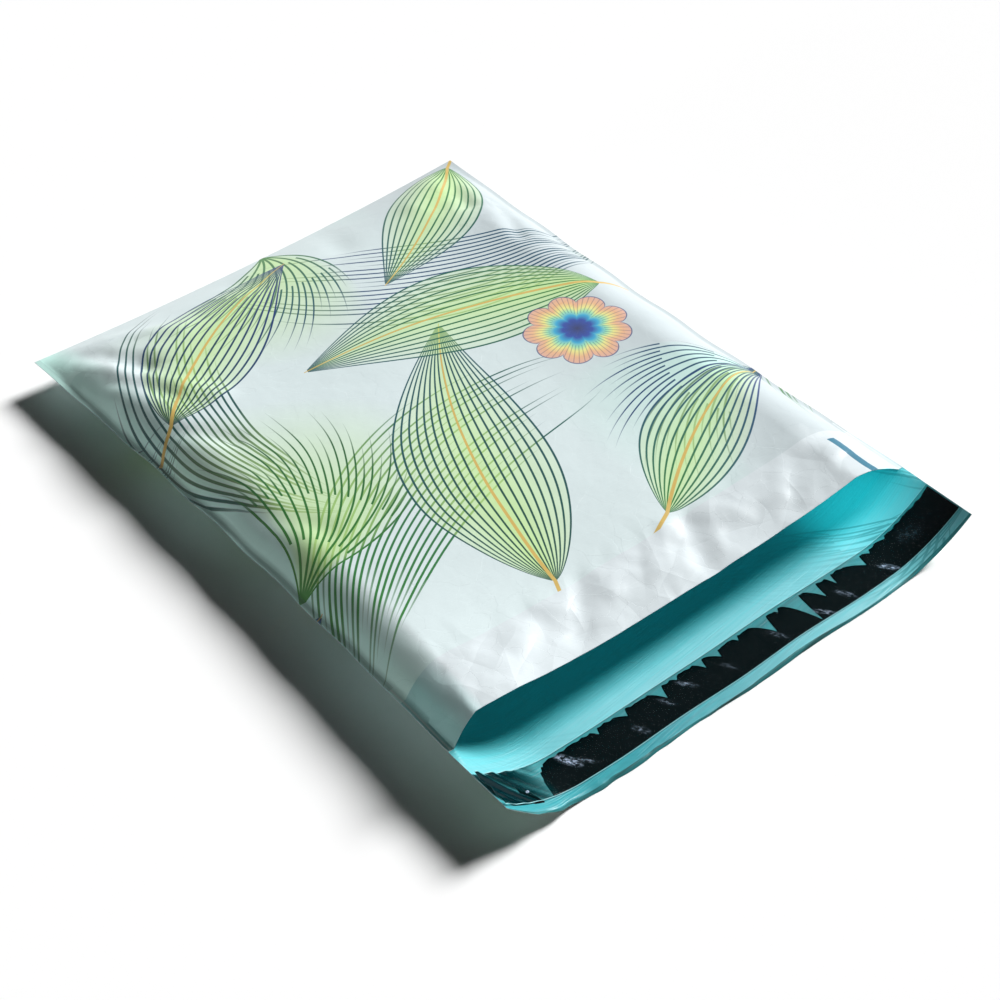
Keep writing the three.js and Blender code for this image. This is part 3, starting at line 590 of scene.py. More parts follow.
def bloom_group():
    """Round flower: petals R (0.82 + 0.18 |sin|), colour by share of that radius, fine rays over it."""
    tree, n, given, out, a, b = motif_group("bloom motif", ("Radius", "Petals", "Pitch", "Line"))
    r = n.math("SQRT", n.math("ADD", n.math("MULTIPLY", a, a), n.math("MULTIPLY", b, b)))
    angle = n.math("ARCTAN2", b, a)
    petal = n.math("ABSOLUTE", n.math("SINE", n.math("MULTIPLY", angle, n.math("MULTIPLY", given["Petals"], 0.5))))
    petal = n.math("MULTIPLY", n.math("POWER", petal, 0.6), 0.22)
    reach = n.math("MULTIPLY", given["Radius"], n.math("ADD", petal, 0.78))
    share = n.math("DIVIDE", r, reach)
    inside = n.math("DIVIDE", n.math("SUBTRACT", reach, r), 0.4, clamp=True)
    ramp = n.add("ShaderNodeValToRGB")
    stops = ramp.color_ramp.elements
    while len(stops) < len(BLOOM_RAMP):
        stops.new(0.5)
    for stop, (place, colour) in zip(stops, BLOOM_RAMP):
        stop.position = place
        stop.color = (*colour, 1.0)
    n.put(ramp.inputs["Fac"], share)
    ray = n.math("MULTIPLY", n.math("PINGPONG", angle, n.math("MULTIPLY", given["Pitch"], 0.5)), r)
    line = n.math("MULTIPLY", n.edge(given["Line"], ray), n.math("GREATER_THAN", share, 0.5))
    line = n.math("MULTIPLY", line, 0.45)
    rim = n.math("MULTIPLY", n.edge(0.3, n.math("ABSOLUTE", n.math("SUBTRACT", reach, r))), 0.8)
    line = n.math("MAXIMUM", n.math("MULTIPLY", line, inside), rim)
    colour = n.blend(n.math("MULTIPLY", inside, 0.95), given["Base"], ramp.outputs["Color"])
    colour = n.blend(line, colour, given["Far"])
    n.put(out["Colour"], colour)
    n.put(out["Ink"], n.math("MAXIMUM", given["Ink"], n.math("MULTIPLY", inside, 0.6)))
    return tree


TEAL_INK = (0.0, 0.07, 0.09, 1.0)
NAVY_INK = (0.0, 0.025, 0.16, 1.0)
GREEN_INK = (0.03, 0.20, 0.02, 1.0)
LIME_INK = (0.20, 0.42, 0.03, 1.0)
DARK_GREEN_INK = (0.0, 0.055, 0.025, 1.0)
GOLD_INK = (0.62, 0.43, 0.12, 1.0)
LIME_WASH = (0.52, 0.78, 0.26, 1.0)
MINT_WASH = (0.52, 0.84, 0.74, 1.0)

# Motifs of the all-over print: kind, place across and along, turn in degrees, repeat, numbers, colours
MOTIFS = (
    ("blade", -50, 116, 24, (246, 282), (230, 60, 170, 9, 0.52), (GREEN_INK, TEAL_INK, LIME_WASH, GOLD_INK)),
    ("blade", 40, 226, 154, (246, 276), (220, 58, 150, 9, 0.50), (TEAL_INK, NAVY_INK, LIME_WASH, GOLD_INK)),
    ("blade", -100, 218, 80, (246, 300), (210, 44, 130, 7, 0.54), (DARK_GREEN_INK, TEAL_INK, LIME_WASH, GOLD_INK)),
    ("blade", 70, 104, 112, (246, 290), (210, 50, -140, 8, 0.50), (TEAL_INK, NAVY_INK, LIME_WASH, GOLD_INK)),
    ("blade", -102, 96, 102, (246, 270), (170, 40, -150, 6, 0.54), (DARK_GREEN_INK, TEAL_INK, LIME_WASH, GOLD_INK)),
    ("fan", -122, 100, 22, (246, 285), (116, 0.66, 0.006, 0.054, 0.54, 0.8), (GREEN_INK, DARK_GREEN_INK, LIME_WASH, GOLD_INK)),
    ("fan", 2, 314, -96, (246, 290), (106, 0.7, -0.006, 0.056, 0.52, 0.75), (GREEN_INK, NAVY_INK, LIME_WASH, GOLD_INK)),
    ("fan", 124, 84, 152, (246, 280), (104, 0.66, 0.007, 0.056, 0.52, 0.7), (TEAL_INK, NAVY_INK, MINT_WASH, GOLD_INK)),
    ("leaf", -40, 36, 68, (246, 310), (172, 33, 46, 8, 0.50, 0.8), (DARK_GREEN_INK, TEAL_INK, LIME_WASH, GOLD_INK)),
    ("leaf", 103, 172, 166, (246, 290), (150, 29, -36, 7, 0.50, 0.8), (GREEN_INK, TEAL_INK, LIME_WASH, GOLD_INK)),
    ("leaf", 20, 36, 26, (246, 285), (120, 22, 28, 6, 0.48, 0.75), (GREEN_INK, NAVY_INK, LIME_WASH, GOLD_INK)),
    ("leaf", -107, 218, 34, (246, 300), (132, 27, 30, 7, 0.50, 0.7), (DARK_GREEN_INK, NAVY_INK, LIME_WASH, GOLD_INK)),
    ("leaf", 116, 308, -142, (246, 300), (118, 24, 26, 6, 0.48, 0.8), (GREEN_INK, TEAL_INK, LIME_WASH, GOLD_INK)),
    ("bloom", 70, 150, 10, (246, 282), (25, 9, 0.11, 0.22), (TEAL_INK, NAVY_INK, LIME_WASH, GOLD_INK)),
)


def print_colour(n, u, v, ground):
    """All motifs laid over the ground one after another; returns the colour and where there is ink."""
    groups = {"leaf": leaf_group(), "fan": fan_group(), "blade": blade_group(), "bloom": bloom_group()}
    colour, ink = ground, 0.0
    for kind, centre_u, centre_v, turn, repeat, numbers, inks in MOTIFS:
        node = n.add("ShaderNodeGroup", node_tree=groups[kind])
        cos, sin = math.cos(math.radians(turn)), math.sin(math.radians(turn))
        ahead = numbers[0] / 2 if kind in ("leaf", "fan") else 0.0
        values = (u, v, ink, cos, sin, centre_u + ahead * cos, centre_v + ahead * sin, ahead, *repeat, *numbers,
                  colour, *inks)
        for socket, value in zip(node.inputs, values):
            n.put(socket, value)
        colour, ink = node.outputs["Colour"], node.outputs["Ink"]
    return colour, ink


def new_material(name):
    material = bpy.data.materials.new(name)
    material.use_nodes = True
    tree = material.node_tree
    return material, Nodes(tree), tree.nodes["Principled BSDF"]


# Sharp folds of crumpled film: direction in degrees, millimetres from ridge to valley, scale of their patches
FOLD_LINES = ((20, 12.0, 37.0), (72, 16.0, 44.0), (125, 10.0, 52.0), (160, 18.0, 61.0))


def fold_lines(n, u, v, where):
    """Zigzags in four directions, bent a little by a slow noise, each coming and going in patches."""
    bend = n.math("MULTIPLY", n.noise(where, 30.0, 1.0), 16.0)
    height = 0.0
    for turn, spacing, patch_scale in FOLD_LINES:
        cos, sin = math.cos(math.radians(turn)), math.sin(math.radians(turn))
        run = n.math("ADD", n.math("ADD", n.math("MULTIPLY", u, cos), n.math("MULTIPLY", v, sin)), bend)
        zigzag = n.math("SUBTRACT", n.math("PINGPONG", run, spacing), spacing / 2)
        patch = n.math("MULTIPLY", n.math("SUBTRACT", n.noise(where, patch_scale, 0.0), 0.38), 3.0, clamp=True)
        height = n.math("ADD", height, n.math("MULTIPLY", zigzag, patch))
    return height


def film_material(ground, blank, inside):
    """White film: fine print outside, teal inside where the print shows through faintly near the right side. Painted
    light and shade in the colour: a teal tint for light through the film on the left slope, shade on the right slope
    and on the left weld, the lip's shadow inside with streaks, shade towards both ends inside, shade on the flap's
    margin and a dark line of shade along its edge.
    """
    material, n, shader = new_material("coextruded film")
    place = n.add("ShaderNodeUVMap", uv_map=MAP_NAME)
    parts = n.add("ShaderNodeSeparateXYZ")
    n.put(parts.inputs[0], place.outputs[0])
    inner = n.math("MULTIPLY", n.math("GREATER_THAN", parts.outputs["X"], MAP_INNER - 0.01),
                   n.math("LESS_THAN", parts.outputs["X"], MAP_RIMS - 0.01))
    shifted = n.math("SUBTRACT", parts.outputs["X"], n.math("MULTIPLY", inner, MAP_INNER))
    u = n.math("SUBTRACT", n.math("MULTIPLY", shifted, MAP_SIDE), HALF_WIDTH + MAP_MARGIN)
    v = n.math("SUBTRACT", n.math("MULTIPLY", parts.outputs["Y"], MAP_SIDE), MAP_MARGIN)
    v_bag = n.math("SUBTRACT", 2 * POUCH_END + 1, v)
    where = n.add("ShaderNodeTexCoord").outputs["Object"]
    mottle = n.noise(where, 60.0, 2.0)
    paper = n.blend(mottle, tuple(c * 0.97 for c in ground) + (1.0,), (*ground, 1.0))
    # Painted light and shade by place. Left is where a teal tint paints light passing through the film onto the shaded
    # left slope. Right is where grey paints shade on the right slope, which faces the key light.
    left = n.math("DIVIDE", n.math("SUBTRACT", -103.0, u), 12.0, clamp=True)
    right = n.math("DIVIDE", n.math("SUBTRACT", u, 35.0), 60.0, clamp=True)

    # Lays two painted effects into a colour: the light-through tint on the left slope and the shade on the right slope.
    def with_painted_side_light(colour, tint, amount, shade):
        painted_through_tint = n.blend(n.math("MULTIPLY", left, amount), colour, tint)
        return n.blend(n.math("MULTIPLY", right, shade), painted_through_tint, (0.48, 0.54, 0.565, 1.0))

    # Print ground with the painted tint on the left slope and the painted shade on the right slope.
    printed, ink = print_colour(n, u, v, with_painted_side_light(paper, (0.50, 1.0, 0.85, 1.0), 0.5, 0.8))

    bar = n.math("MULTIPLY", n.edge(2.1, n.math("ABSOLUTE", n.math("SUBTRACT", u, 103.6)), 0.3),
                 n.edge(13.2, n.math("ABSOLUTE", n.math("SUBTRACT", v, 12.2)), 0.3))
    # Bare band with the same painted tint and painted shade.
    plain = n.blend(bar, with_painted_side_light((*blank, 1.0), (0.32, 0.67, 0.64, 1.0), 0.9, 0.3), (0.02, 0.16, 0.25, 1.0))
    is_print = n.math("MULTIPLY", n.edge(0.0, n.math("SUBTRACT", BLANK_BAND, v), 0.3),
                      n.math("LESS_THAN", parts.outputs["X"], MAP_RIMS - 0.01))
    outside = n.blend(is_print, plain, printed)
    seal = n.edge(0.3, n.math("ABSOLUTE", n.math("SUBTRACT", n.math("ABSOLUTE", u), HALF_WIDTH - 1.2)), 0.3)
    seal = n.math("MULTIPLY", seal, n.math("LESS_THAN", v, BLANK_BAND + 8))
    outside = n.blend(n.math("MULTIPLY", seal, 0.5), outside, (0.9, 0.96, 0.96, 1.0))
    # Painted shade on the left weld, which lies in the shade of the upper wall away from the key light.
    weld = n.math("MULTIPLY", n.math("LESS_THAN", u, WELD_WIDTH - HALF_WIDTH),
                  n.math("GREATER_THAN", v, BLANK_BAND + 8))
    outside = n.blend(n.math("MULTIPLY", weld, 0.2), outside, (0.10, 0.20, 0.19, 1.0))

    streak_place = n.add("ShaderNodeCombineXYZ")
    n.put(streak_place.inputs[0], n.math("MULTIPLY", u, 0.02))
    n.put(streak_place.inputs[1], n.math("MULTIPLY", n.math("ADD", v, n.math("MULTIPLY", u, 0.11)), 0.55))
    painted_shade_streaks = n.noise(streak_place.outputs[0], 1.0, 3.0)
    # Painted lip shadow inside the pouch: deeper teal further in, paler teal towards the mouth where the light reaches.
    deep = (inside[0] * 0.15, inside[1] * 0.9, inside[2] * 0.9)
    pale = n.math("DIVIDE", n.math("SUBTRACT", 6.0, v_bag), 14.0, clamp=True)
    teal = n.blend(pale, (*deep, 1.0), (*inside, 1.0))
    under_strip = n.math("MULTIPLY", n.math("LESS_THAN", v_bag, -STRIP_START), n.math("GREATER_THAN", v_bag, -STRIP_END))
    teal = n.blend(n.math("MULTIPLY", under_strip, 0.9), teal, (0.03, 0.19, 0.21, 1.0))
    margin = n.math("LESS_THAN", v_bag, -STRIP_END)
    shaded = n.math("ADD", n.math("MULTIPLY", n.math("DIVIDE", n.math("SUBTRACT", 60.0, u), 120.0, clamp=True), 0.9), 0.05)
    teal = n.blend(n.math("MULTIPLY", margin, shaded), teal, (0.03, 0.24, 0.29, 1.0))
    # Painted shade: a dark line along the flap's edge, where it curls down out of the light.
    painted_edge_shade_width = n.math("ADD", n.math("MULTIPLY", n.math("SINE", n.math("DIVIDE", u, 13.0)), 0.4), 1.1)
    painted_edge_shade = n.math("LESS_THAN", v_bag, n.math("SUBTRACT", painted_edge_shade_width, FLAP_LENGTH))
    teal = n.blend(painted_edge_shade, teal, (0.002, 0.022, 0.018, 1.0))
    # Painted shade: darker teal inside towards both side seams.
    painted_end_shade = n.math("DIVIDE", n.math("SUBTRACT", n.math("ABSOLUTE", u), 45.0), 50.0, clamp=True)
    teal = n.blend(n.math("MULTIPLY", painted_end_shade, 0.3), teal, (0.06, 0.38, 0.40, 1.0))
    # Painted shade in streaks, feathering the edge of the painted lip shadow.
    painted_shade_streaks = n.math("MULTIPLY", n.math("SUBTRACT", painted_shade_streaks, 0.3), 1.6, clamp=True)
    teal = n.blend(n.math("MULTIPLY", painted_shade_streaks, 0.5), teal, (*deep, 1.0))
    # Print seen through the film, made stronger towards the right side as painted light shining through the wall.
    through = n.math("ADD", n.math("MULTIPLY", n.math("DIVIDE", n.math("SUBTRACT", u, 62.0), 30.0, clamp=True), 0.5), 0.06)
    teal = n.blend(n.math("MULTIPLY", ink, through), teal, (0.004, 0.17, 0.19, 1.0))
    n.put(shader.inputs["Base Color"], n.blend(inner, outside, teal))

    rough = n.math("ADD", n.math("MULTIPLY", n.noise(where, 150.0, 3.0), 0.16), 0.29)
    n.put(shader.inputs["Roughness"], rough)
    shader.inputs["Specular IOR Level"].default_value = 0.3
    cells = n.add("ShaderNodeTexVoronoi", feature="F1")
    warp = n.add("ShaderNodeTexNoise")
    n.put(warp.inputs["Vector"], where)
    warp.inputs["Scale"].default_value = 60.0
    warped = n.add("ShaderNodeMix", data_type="VECTOR")
    warped.inputs["Factor"].default_value = 0.012
    n.put(warped.inputs[4], where)
    n.put(warped.inputs[5], warp.outputs["Color"])
    warped = warped.outputs[1]
    n.put(cells.inputs["Vector"], warped)
    cells.inputs["Scale"].default_value = 88.0
    tilt, off = n.add("ShaderNodeVectorMath", operation="SUBTRACT"), n.add("ShaderNodeVectorMath", operation="SUBTRACT")
    n.put(tilt.inputs[0], cells.outputs["Color"])
    tilt.inputs[1].default_value = (0.5, 0.5, 0.5)
    scaled = n.add("ShaderNodeVectorMath", operation="SCALE")
    n.put(scaled.inputs[0], warped)
    scaled.inputs["Scale"].default_value = 88.0
    n.put(off.inputs[0], scaled.outputs[0])
    n.put(off.inputs[1], cells.outputs["Position"])
    lean = n.add("ShaderNodeVectorMath", operation="DOT_PRODUCT")
    n.put(lean.inputs[0], tilt.outputs[0])
    n.put(lean.inputs[1], off.outputs[0])
    near_lip = n.math("SUBTRACT", 1.0, n.math("DIVIDE", n.math("SUBTRACT", v, 22.0), 24.0, clamp=True))
    near_fold = n.math("MULTIPLY", n.math("DIVIDE", n.math("SUBTRACT", v, 225.0), 30.0, clamp=True),
                       n.math("DIVIDE", n.math("SUBTRACT", n.math("ABSOLUTE", u), 76.0), 20.0, clamp=True))
    near_fold = n.math("MULTIPLY", near_fold, n.math("DIVIDE", n.math("SUBTRACT", POUCH_END - 5, v), 30.0, clamp=True))
    crumpled = n.math("MAXIMUM", n.math("MULTIPLY", near_lip, n.math("SUBTRACT", 1.0, inner)), near_fold)
    ridges = n.math("MULTIPLY", lean.outputs["Value"], 0.8)
    ridges = n.math("ADD", ridges, n.math("MULTIPLY", fold_lines(n, u, v, where), 0.17))
    for scale, steepness in ((48.0, 0.4), (120.0, 0.2)):
        ridge = n.math("ABSOLUTE", n.math("SUBTRACT", n.noise(where, scale, 0.0), 0.5))
        ridges = n.math("ADD", ridges, n.math("MULTIPLY", ridge, steepness))
    creased = n.math("MULTIPLY", ridges, n.math("ADD", crumpled, 0.03))
    fine = n.noise(where, 420.0, 3.0, 0.6)
    soft = n.math("MULTIPLY", n.noise(where, 70.0, 2.0), n.math("SUBTRACT", 0.9, n.math("MULTIPLY", near_lip, 0.65)))
    drawn = n.noise(streak_place.outputs[0], 2.4, 2.0)
    height = n.math("ADD", n.math("MULTIPLY", fine, 0.12), n.math("ADD", soft,
                    n.math("MULTIPLY", drawn, n.math("ADD", n.math("MULTIPLY", inner, 0.85), 0.12))))
    height = n.math("ADD", height, creased)
    bump = n.add("ShaderNodeBump")
    bump.inputs["Distance"].default_value = 0.0007
    bump.inputs["Strength"].default_value = 0.45
    n.put(bump.inputs["Height"], height)
    n.put(shader.inputs["Normal"], bump.outputs[0])
    return material


def adhesive_material(colour):
    """Black hot melt pressed flat under the liner: glossy, with soft lumps and drawn ripples."""
    material, n, shader = new_material("hot melt adhesive")
    where = n.add("ShaderNodeTexCoord").outputs["Object"]
    tone = n.noise(where, 130.0, 3.0)
    n.put(shader.inputs["Base Color"], n.blend(tone, tuple(c * 0.6 for c in colour) + (1.0,), tuple(c * 1.6 for c in colour) + (1.0,)))
    n.put(shader.inputs["Roughness"], n.math("ADD", n.math("MULTIPLY", n.noise(where, 240.0, 2.0), 0.22), 0.10))
    shader.inputs["Specular IOR Level"].default_value = 0.03
    stretch = n.add("ShaderNodeMapping")
    stretch.inputs["Scale"].default_value = (1.0, 0.35, 1.0)
    n.put(stretch.inputs["Vector"], where)
    ripples = n.noise(stretch.outputs[0], 260.0, 3.0, 0.55)
    lumps = n.noise(where, 90.0, 2.0)
    bump = n.add("ShaderNodeBump")
    bump.inputs["Distance"].default_value = 0.0012
    bump.inputs["Strength"].default_value = 0.5
    n.put(bump.inputs["Height"], n.math("ADD", n.math("MULTIPLY", ripples, 0.35), lumps))
    n.put(shader.inputs["Normal"], bump.outputs[0])
    return material


# Painted glints on the liner, bluish-white spots where it would catch the light: place, half length, half width, turn
# in degrees, strength
PAINTED_GLINTS = (
    (-81.5, -20.5, 7.5, 2.6, -62, 0.75), (-76, -25, 6, 1.6, -50, 0.35), (-106.4, -26.8, 0.9, 0.7, 0, 1.6),
    (-50, -27, 5, 2.2, -60, 0.32), (-33, -23, 5, 2.0, -60, 0.28), (-21, -21, 6, 1.8, -55, 0.4),
    (-2, -25, 5, 1.6, -60, 0.25), (24, -26, 6, 1.6, -60, 0.3), (47, -29, 7, 1.7, -50, 0.5),
    (61, -27, 6, 2.0, -60, 0.4), (85.5, -28, 6, 1.9, -55, 0.7), (103, -23, 7, 5.0, -30, 0.16),
)


def liner_material(tint):
    """Clear film: nearly see-through, with painted dark and light reflections as streaks in its puckers, painted
    highlight lines along its edges and painted glints.
    """
    material, n, shader = new_material("clear release film")
    place = n.add("ShaderNodeUVMap", uv_map=MAP_NAME)
    parts = n.add("ShaderNodeSeparateXYZ")
    n.put(parts.inputs[0], place.outputs[0])
    u = n.math("SUBTRACT", n.math("MULTIPLY", n.math("SUBTRACT", parts.outputs["X"], 0.02), BAG_WIDTH / 0.96), HALF_WIDTH)
    upper = n.math("GREATER_THAN", parts.outputs["Y"], 0.43)
    level = n.math("SUBTRACT", n.math("SUBTRACT", parts.outputs["Y"], 0.05), n.math("MULTIPLY", upper, 0.4))
    v = n.math("MULTIPLY", level, STRIP_WIDTH / 0.35)
    from_end = n.math("ADD", u, HALF_WIDTH)
    free = n.math("SUBTRACT", 1.0, n.math("DIVIDE", n.math("SUBTRACT", from_end, 12.0), 16.0, clamp=True))
    slant = n.math("ADD", from_end, n.math("MULTIPLY", v, 0.75))
    streak_place = n.add("ShaderNodeCombineXYZ")
    n.put(streak_place.inputs[0], slant)
    n.put(streak_place.inputs[1], n.math("MULTIPLY", v, 0.07))
    # Painted reflections in the puckers at the free end: dark streaks and light streaks.
    painted_reflection_streak = n.noise(streak_place.outputs[0], 0.13, 1.0, 0.5)
    dark = n.math("MULTIPLY", n.math("MULTIPLY", n.math("SUBTRACT", painted_reflection_streak, 0.40), 14.0, clamp=True), free)
    light = n.math("MULTIPLY", n.math("MULTIPLY", n.math("SUBTRACT", 0.36, painted_reflection_streak), 16.0, clamp=True), free)
    # Painted highlight lines along both edges of the liner.
    edge = n.edge(0.28, n.math("SUBTRACT", STRIP_WIDTH / 2, n.math("ABSOLUTE", n.math("SUBTRACT", v, STRIP_WIDTH / 2))), 0.2)
    # Painted glints: bluish-white spots where the liner would catch the light, broken up by a noise.
    painted_glint = 0.0
    for centre_u, centre_v, long, wide, turn, amount in PAINTED_GLINTS:
        du = n.math("SUBTRACT", u, centre_u)
        dv = n.math("SUBTRACT", v, centre_v + STRIP_END)
        cos, sin = math.cos(math.radians(turn)), math.sin(math.radians(turn))
        a = n.math("DIVIDE", n.math("ADD", n.math("MULTIPLY", du, cos), n.math("MULTIPLY", dv, sin)), long)
        b = n.math("DIVIDE", n.math("SUBTRACT", n.math("MULTIPLY", dv, cos), n.math("MULTIPLY", du, sin)), wide)
        r = n.math("ADD", n.math("MULTIPLY", a, a), n.math("MULTIPLY", b, b))
        spot = n.math("MULTIPLY", n.math("SUBTRACT", 1.0, r, clamp=True), amount)
        painted_glint = n.math("MAXIMUM", painted_glint, spot)
    glint_breakup_place = n.add("ShaderNodeCombineXYZ")
    n.put(glint_breakup_place.inputs[0], n.math("ADD", u, n.math("MULTIPLY", v, 0.5)))
    n.put(glint_breakup_place.inputs[1], n.math("MULTIPLY", v, 0.6))
    glint_breakup = n.noise(glint_breakup_place.outputs[0], 0.9, 3.0, 0.65)
    painted_glint = n.math("MULTIPLY", painted_glint, n.math("MULTIPLY", n.math("SUBTRACT", glint_breakup, 0.40), 4.0, clamp=True))
    # Colour of the painted reflections and highlight lines, then of the painted glints.
    colour = n.blend(dark, (*tint, 1.0), (0.0005, 0.014, 0.018, 1.0))
    colour = n.blend(n.math("MAXIMUM", light, edge), colour, (0.42, 0.78, 0.82, 1.0))
    # Painted glints in bluish white.
    colour = n.blend(n.math("MULTIPLY", painted_glint, 2.0, clamp=True), colour, (0.55, 0.66, 0.86, 1.0))
    n.put(shader.inputs["Base Color"], colour)
    # The painted reflections, highlight lines and glints make the liner less clear where they lie.
    clear = n.math("ADD", n.math("MULTIPLY", dark, 0.9), 0.04)
    clear = n.math("MAXIMUM", clear, n.math("MAXIMUM", n.math("MULTIPLY", light, 0.6), n.math("MULTIPLY", edge, 0.75)))
    n.put(shader.inputs["Alpha"], n.math("MAXIMUM", clear, painted_glint))
    shader.inputs["Roughness"].default_value = 0.1
    shader.inputs["Specular IOR Level"].default_value = 0.1
    where = n.add("ShaderNodeTexCoord").outputs["Object"]
    bump = n.add("ShaderNodeBump")
    bump.inputs["Distance"].default_value = 0.0008
    bump.inputs["Strength"].default_value = 0.35
    n.put(bump.inputs["Height"], n.noise(where, 210.0, 3.0))
    n.put(shader.inputs["Normal"], bump.outputs[0])
    return material


class MailerSettings(bpy.types.PropertyGroup):
    film_thickness: bpy.props.FloatProperty(
        name="Film thickness", description="Thickness of the film as it is drawn", default=0.0002,
        min=0.00005, max=0.0006, subtype="DISTANCE", unit="LENGTH", precision=5)
    adhesive_thickness: bpy.props.FloatProperty(
        name="Adhesive thickness", description="Height of the adhesive over the flap", default=0.0003,
        min=0.0001, max=0.0008, subtype="DISTANCE", unit="LENGTH", precision=5)
    liner_thickness: bpy.props.FloatProperty(
        name="Liner thickness", description="Thickness of the release liner as it is drawn", default=0.00008,
        min=0.00003, max=0.0004, subtype="DISTANCE", unit="LENGTH", precision=5)
    ground_colour: bpy.props.FloatVectorProperty(
        name="Printed ground", description="Pale colour under the print", default=(0.68, 0.78, 0.79),
        min=0.0, max=1.0, subtype="COLOR")
    blank_colour: bpy.props.FloatVectorProperty(
        name="Unprinted band", description="Colour of the bare film behind the lip", default=(0.67, 0.735, 0.76),
        min=0.0, max=1.0, subtype="COLOR")
    inside_colour: bpy.props.FloatVectorProperty(
        name="Inside", description="Colour of the inner layer of the film", default=(0.27, 0.64, 0.70),
        min=0.0, max=1.0, subtype="COLOR")
    adhesive_colour: bpy.props.FloatVectorProperty(
        name="Adhesive", description="Colour of the adhesive", default=(0.0015, 0.0015, 0.002),
        min=0.0, max=1.0, subtype="COLOR")
    liner_tint: bpy.props.FloatVectorProperty(
        name="Liner tint", description="Faint colour of the clear liner", default=(0.0, 0.05, 0.055),
        min=0.0, max=1.0, subtype="COLOR")


class StageSettings(bpy.types.PropertyGroup):
    floor_colour: bpy.props.FloatVectorProperty(
        name="Floor", description="Colour of the floor", default=(0.99, 0.99, 0.99),
        min=0.0, max=1.0, subtype="COLOR")
    key_strength: bpy.props.FloatProperty(
        name="Key light", description="Strength of the main light", default=5.3, min=0.0, max=20.0)
    key_softness: bpy.props.FloatProperty(
        name="Key softness", description="Width of the main light seen from the bag", default=math.radians(19),
        min=0.0, max=math.radians(90), subtype="ANGLE", unit="ROTATION")
    low_strength: bpy.props.FloatProperty(
        name="Low light", description="Strength of the low light from the left", default=0.3, min=0.0, max=5.0)
    through_strength: bpy.props.FloatProperty(
        name="Light through the film", description="Power of the light inside the mouth", default=0.0026,
        min=0.0, max=5.0, subtype="POWER", unit="POWER")
    fill_strength: bpy.props.FloatProperty(
        name="Fill light", description="Strength of the light from all sides", default=0.019, min=0.0, max=5.0)


class MAILER_OT_film(bpy.types.Operator):
    """Build the printed film bag with its flap"""
    bl_idname = "mailer.film"
    bl_label = "Film bag"

    def execute(self, context):
        s = context.scene.mailer
        material = film_material(tuple(s.ground_colour), tuple(s.blank_colour), tuple(s.inside_colour))
        piece = build_film(s.film_thickness / MM, material)
        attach(piece, "root")
        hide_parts("film_bag")
        return {"FINISHED"}


class MAILER_OT_adhesive(bpy.types.Operator):
    """Build the lobed adhesive band on the flap"""
    bl_idname = "mailer.adhesive"
    bl_label = "Adhesive band"

    def execute(self, context):
        s = context.scene.mailer
        piece = build_adhesive(s.film_thickness / MM, s.adhesive_thickness / MM, adhesive_material(tuple(s.adhesive_colour)))
        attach(piece, "root")
        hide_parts("adhesive_band")
        return {"FINISHED"}


class MAILER_OT_liner(bpy.types.Operator):
    """Build the clear release liner over the adhesive"""
    bl_idname = "mailer.liner"
    bl_label = "Release liner"

    def execute(self, context):
        s = context.scene.mailer
        over = s.adhesive_thickness / MM + 0.2
        piece = build_liner(s.film_thickness / MM, over, s.liner_thickness / MM, liner_material(tuple(s.liner_tint)))
        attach(piece, "root")
        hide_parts("release_liner")
        return {"FINISHED"}


# The camera of the photograph: bearing, height, roll in degrees, distance and aim in metres, lens in millimetres
CAMERA_BEARING, CAMERA_HEIGHT, CAMERA_ROLL = -36.777, 42.994, -3.014
CAMERA_DISTANCE, CAMERA_LENS = 0.8632, 73.126
CAMERA_AIM = (-0.0154, 0.10206 - MIDDLE * MM, 0.010)
KEY_FROM, LOW_FROM = (0.809, 0.0, 0.588), (-1.0, 0.0, 0.061)
LOW_SOFTNESS = math.radians(5)
# Light that the film lets into the mouth: place, size, share of the set power
THROUGH_LAMPS = (
    ((0.0, (20.0 - MIDDLE) * MM, 0.0185), (0.20, 0.035), 1.0),
    ((0.098, (4.0 - MIDDLE) * MM, 0.0195), (0.036, 0.040), 2.4),
)


def add_sun(scene, name, toward, strength, softness):
    """Sun lamp whose light comes from a direction."""
    lamp = bpy.data.lights.new(name, "SUN")
    lamp.energy = strength
    lamp.angle = softness
    sun = bpy.data.objects.new(name, lamp)
    toward = np.array(toward) / np.linalg.norm(toward)
    side_way = np.cross((0.0, 0.0, 1.0), toward)
    side_way /= np.linalg.norm(side_way)
    lift = np.cross(toward, side_way)
    sun.matrix_world = Matrix(np.vstack([np.column_stack([side_way, lift, toward, toward]), [0, 0, 0, 1]]).tolist())
    scene.collection.objects.link(sun)


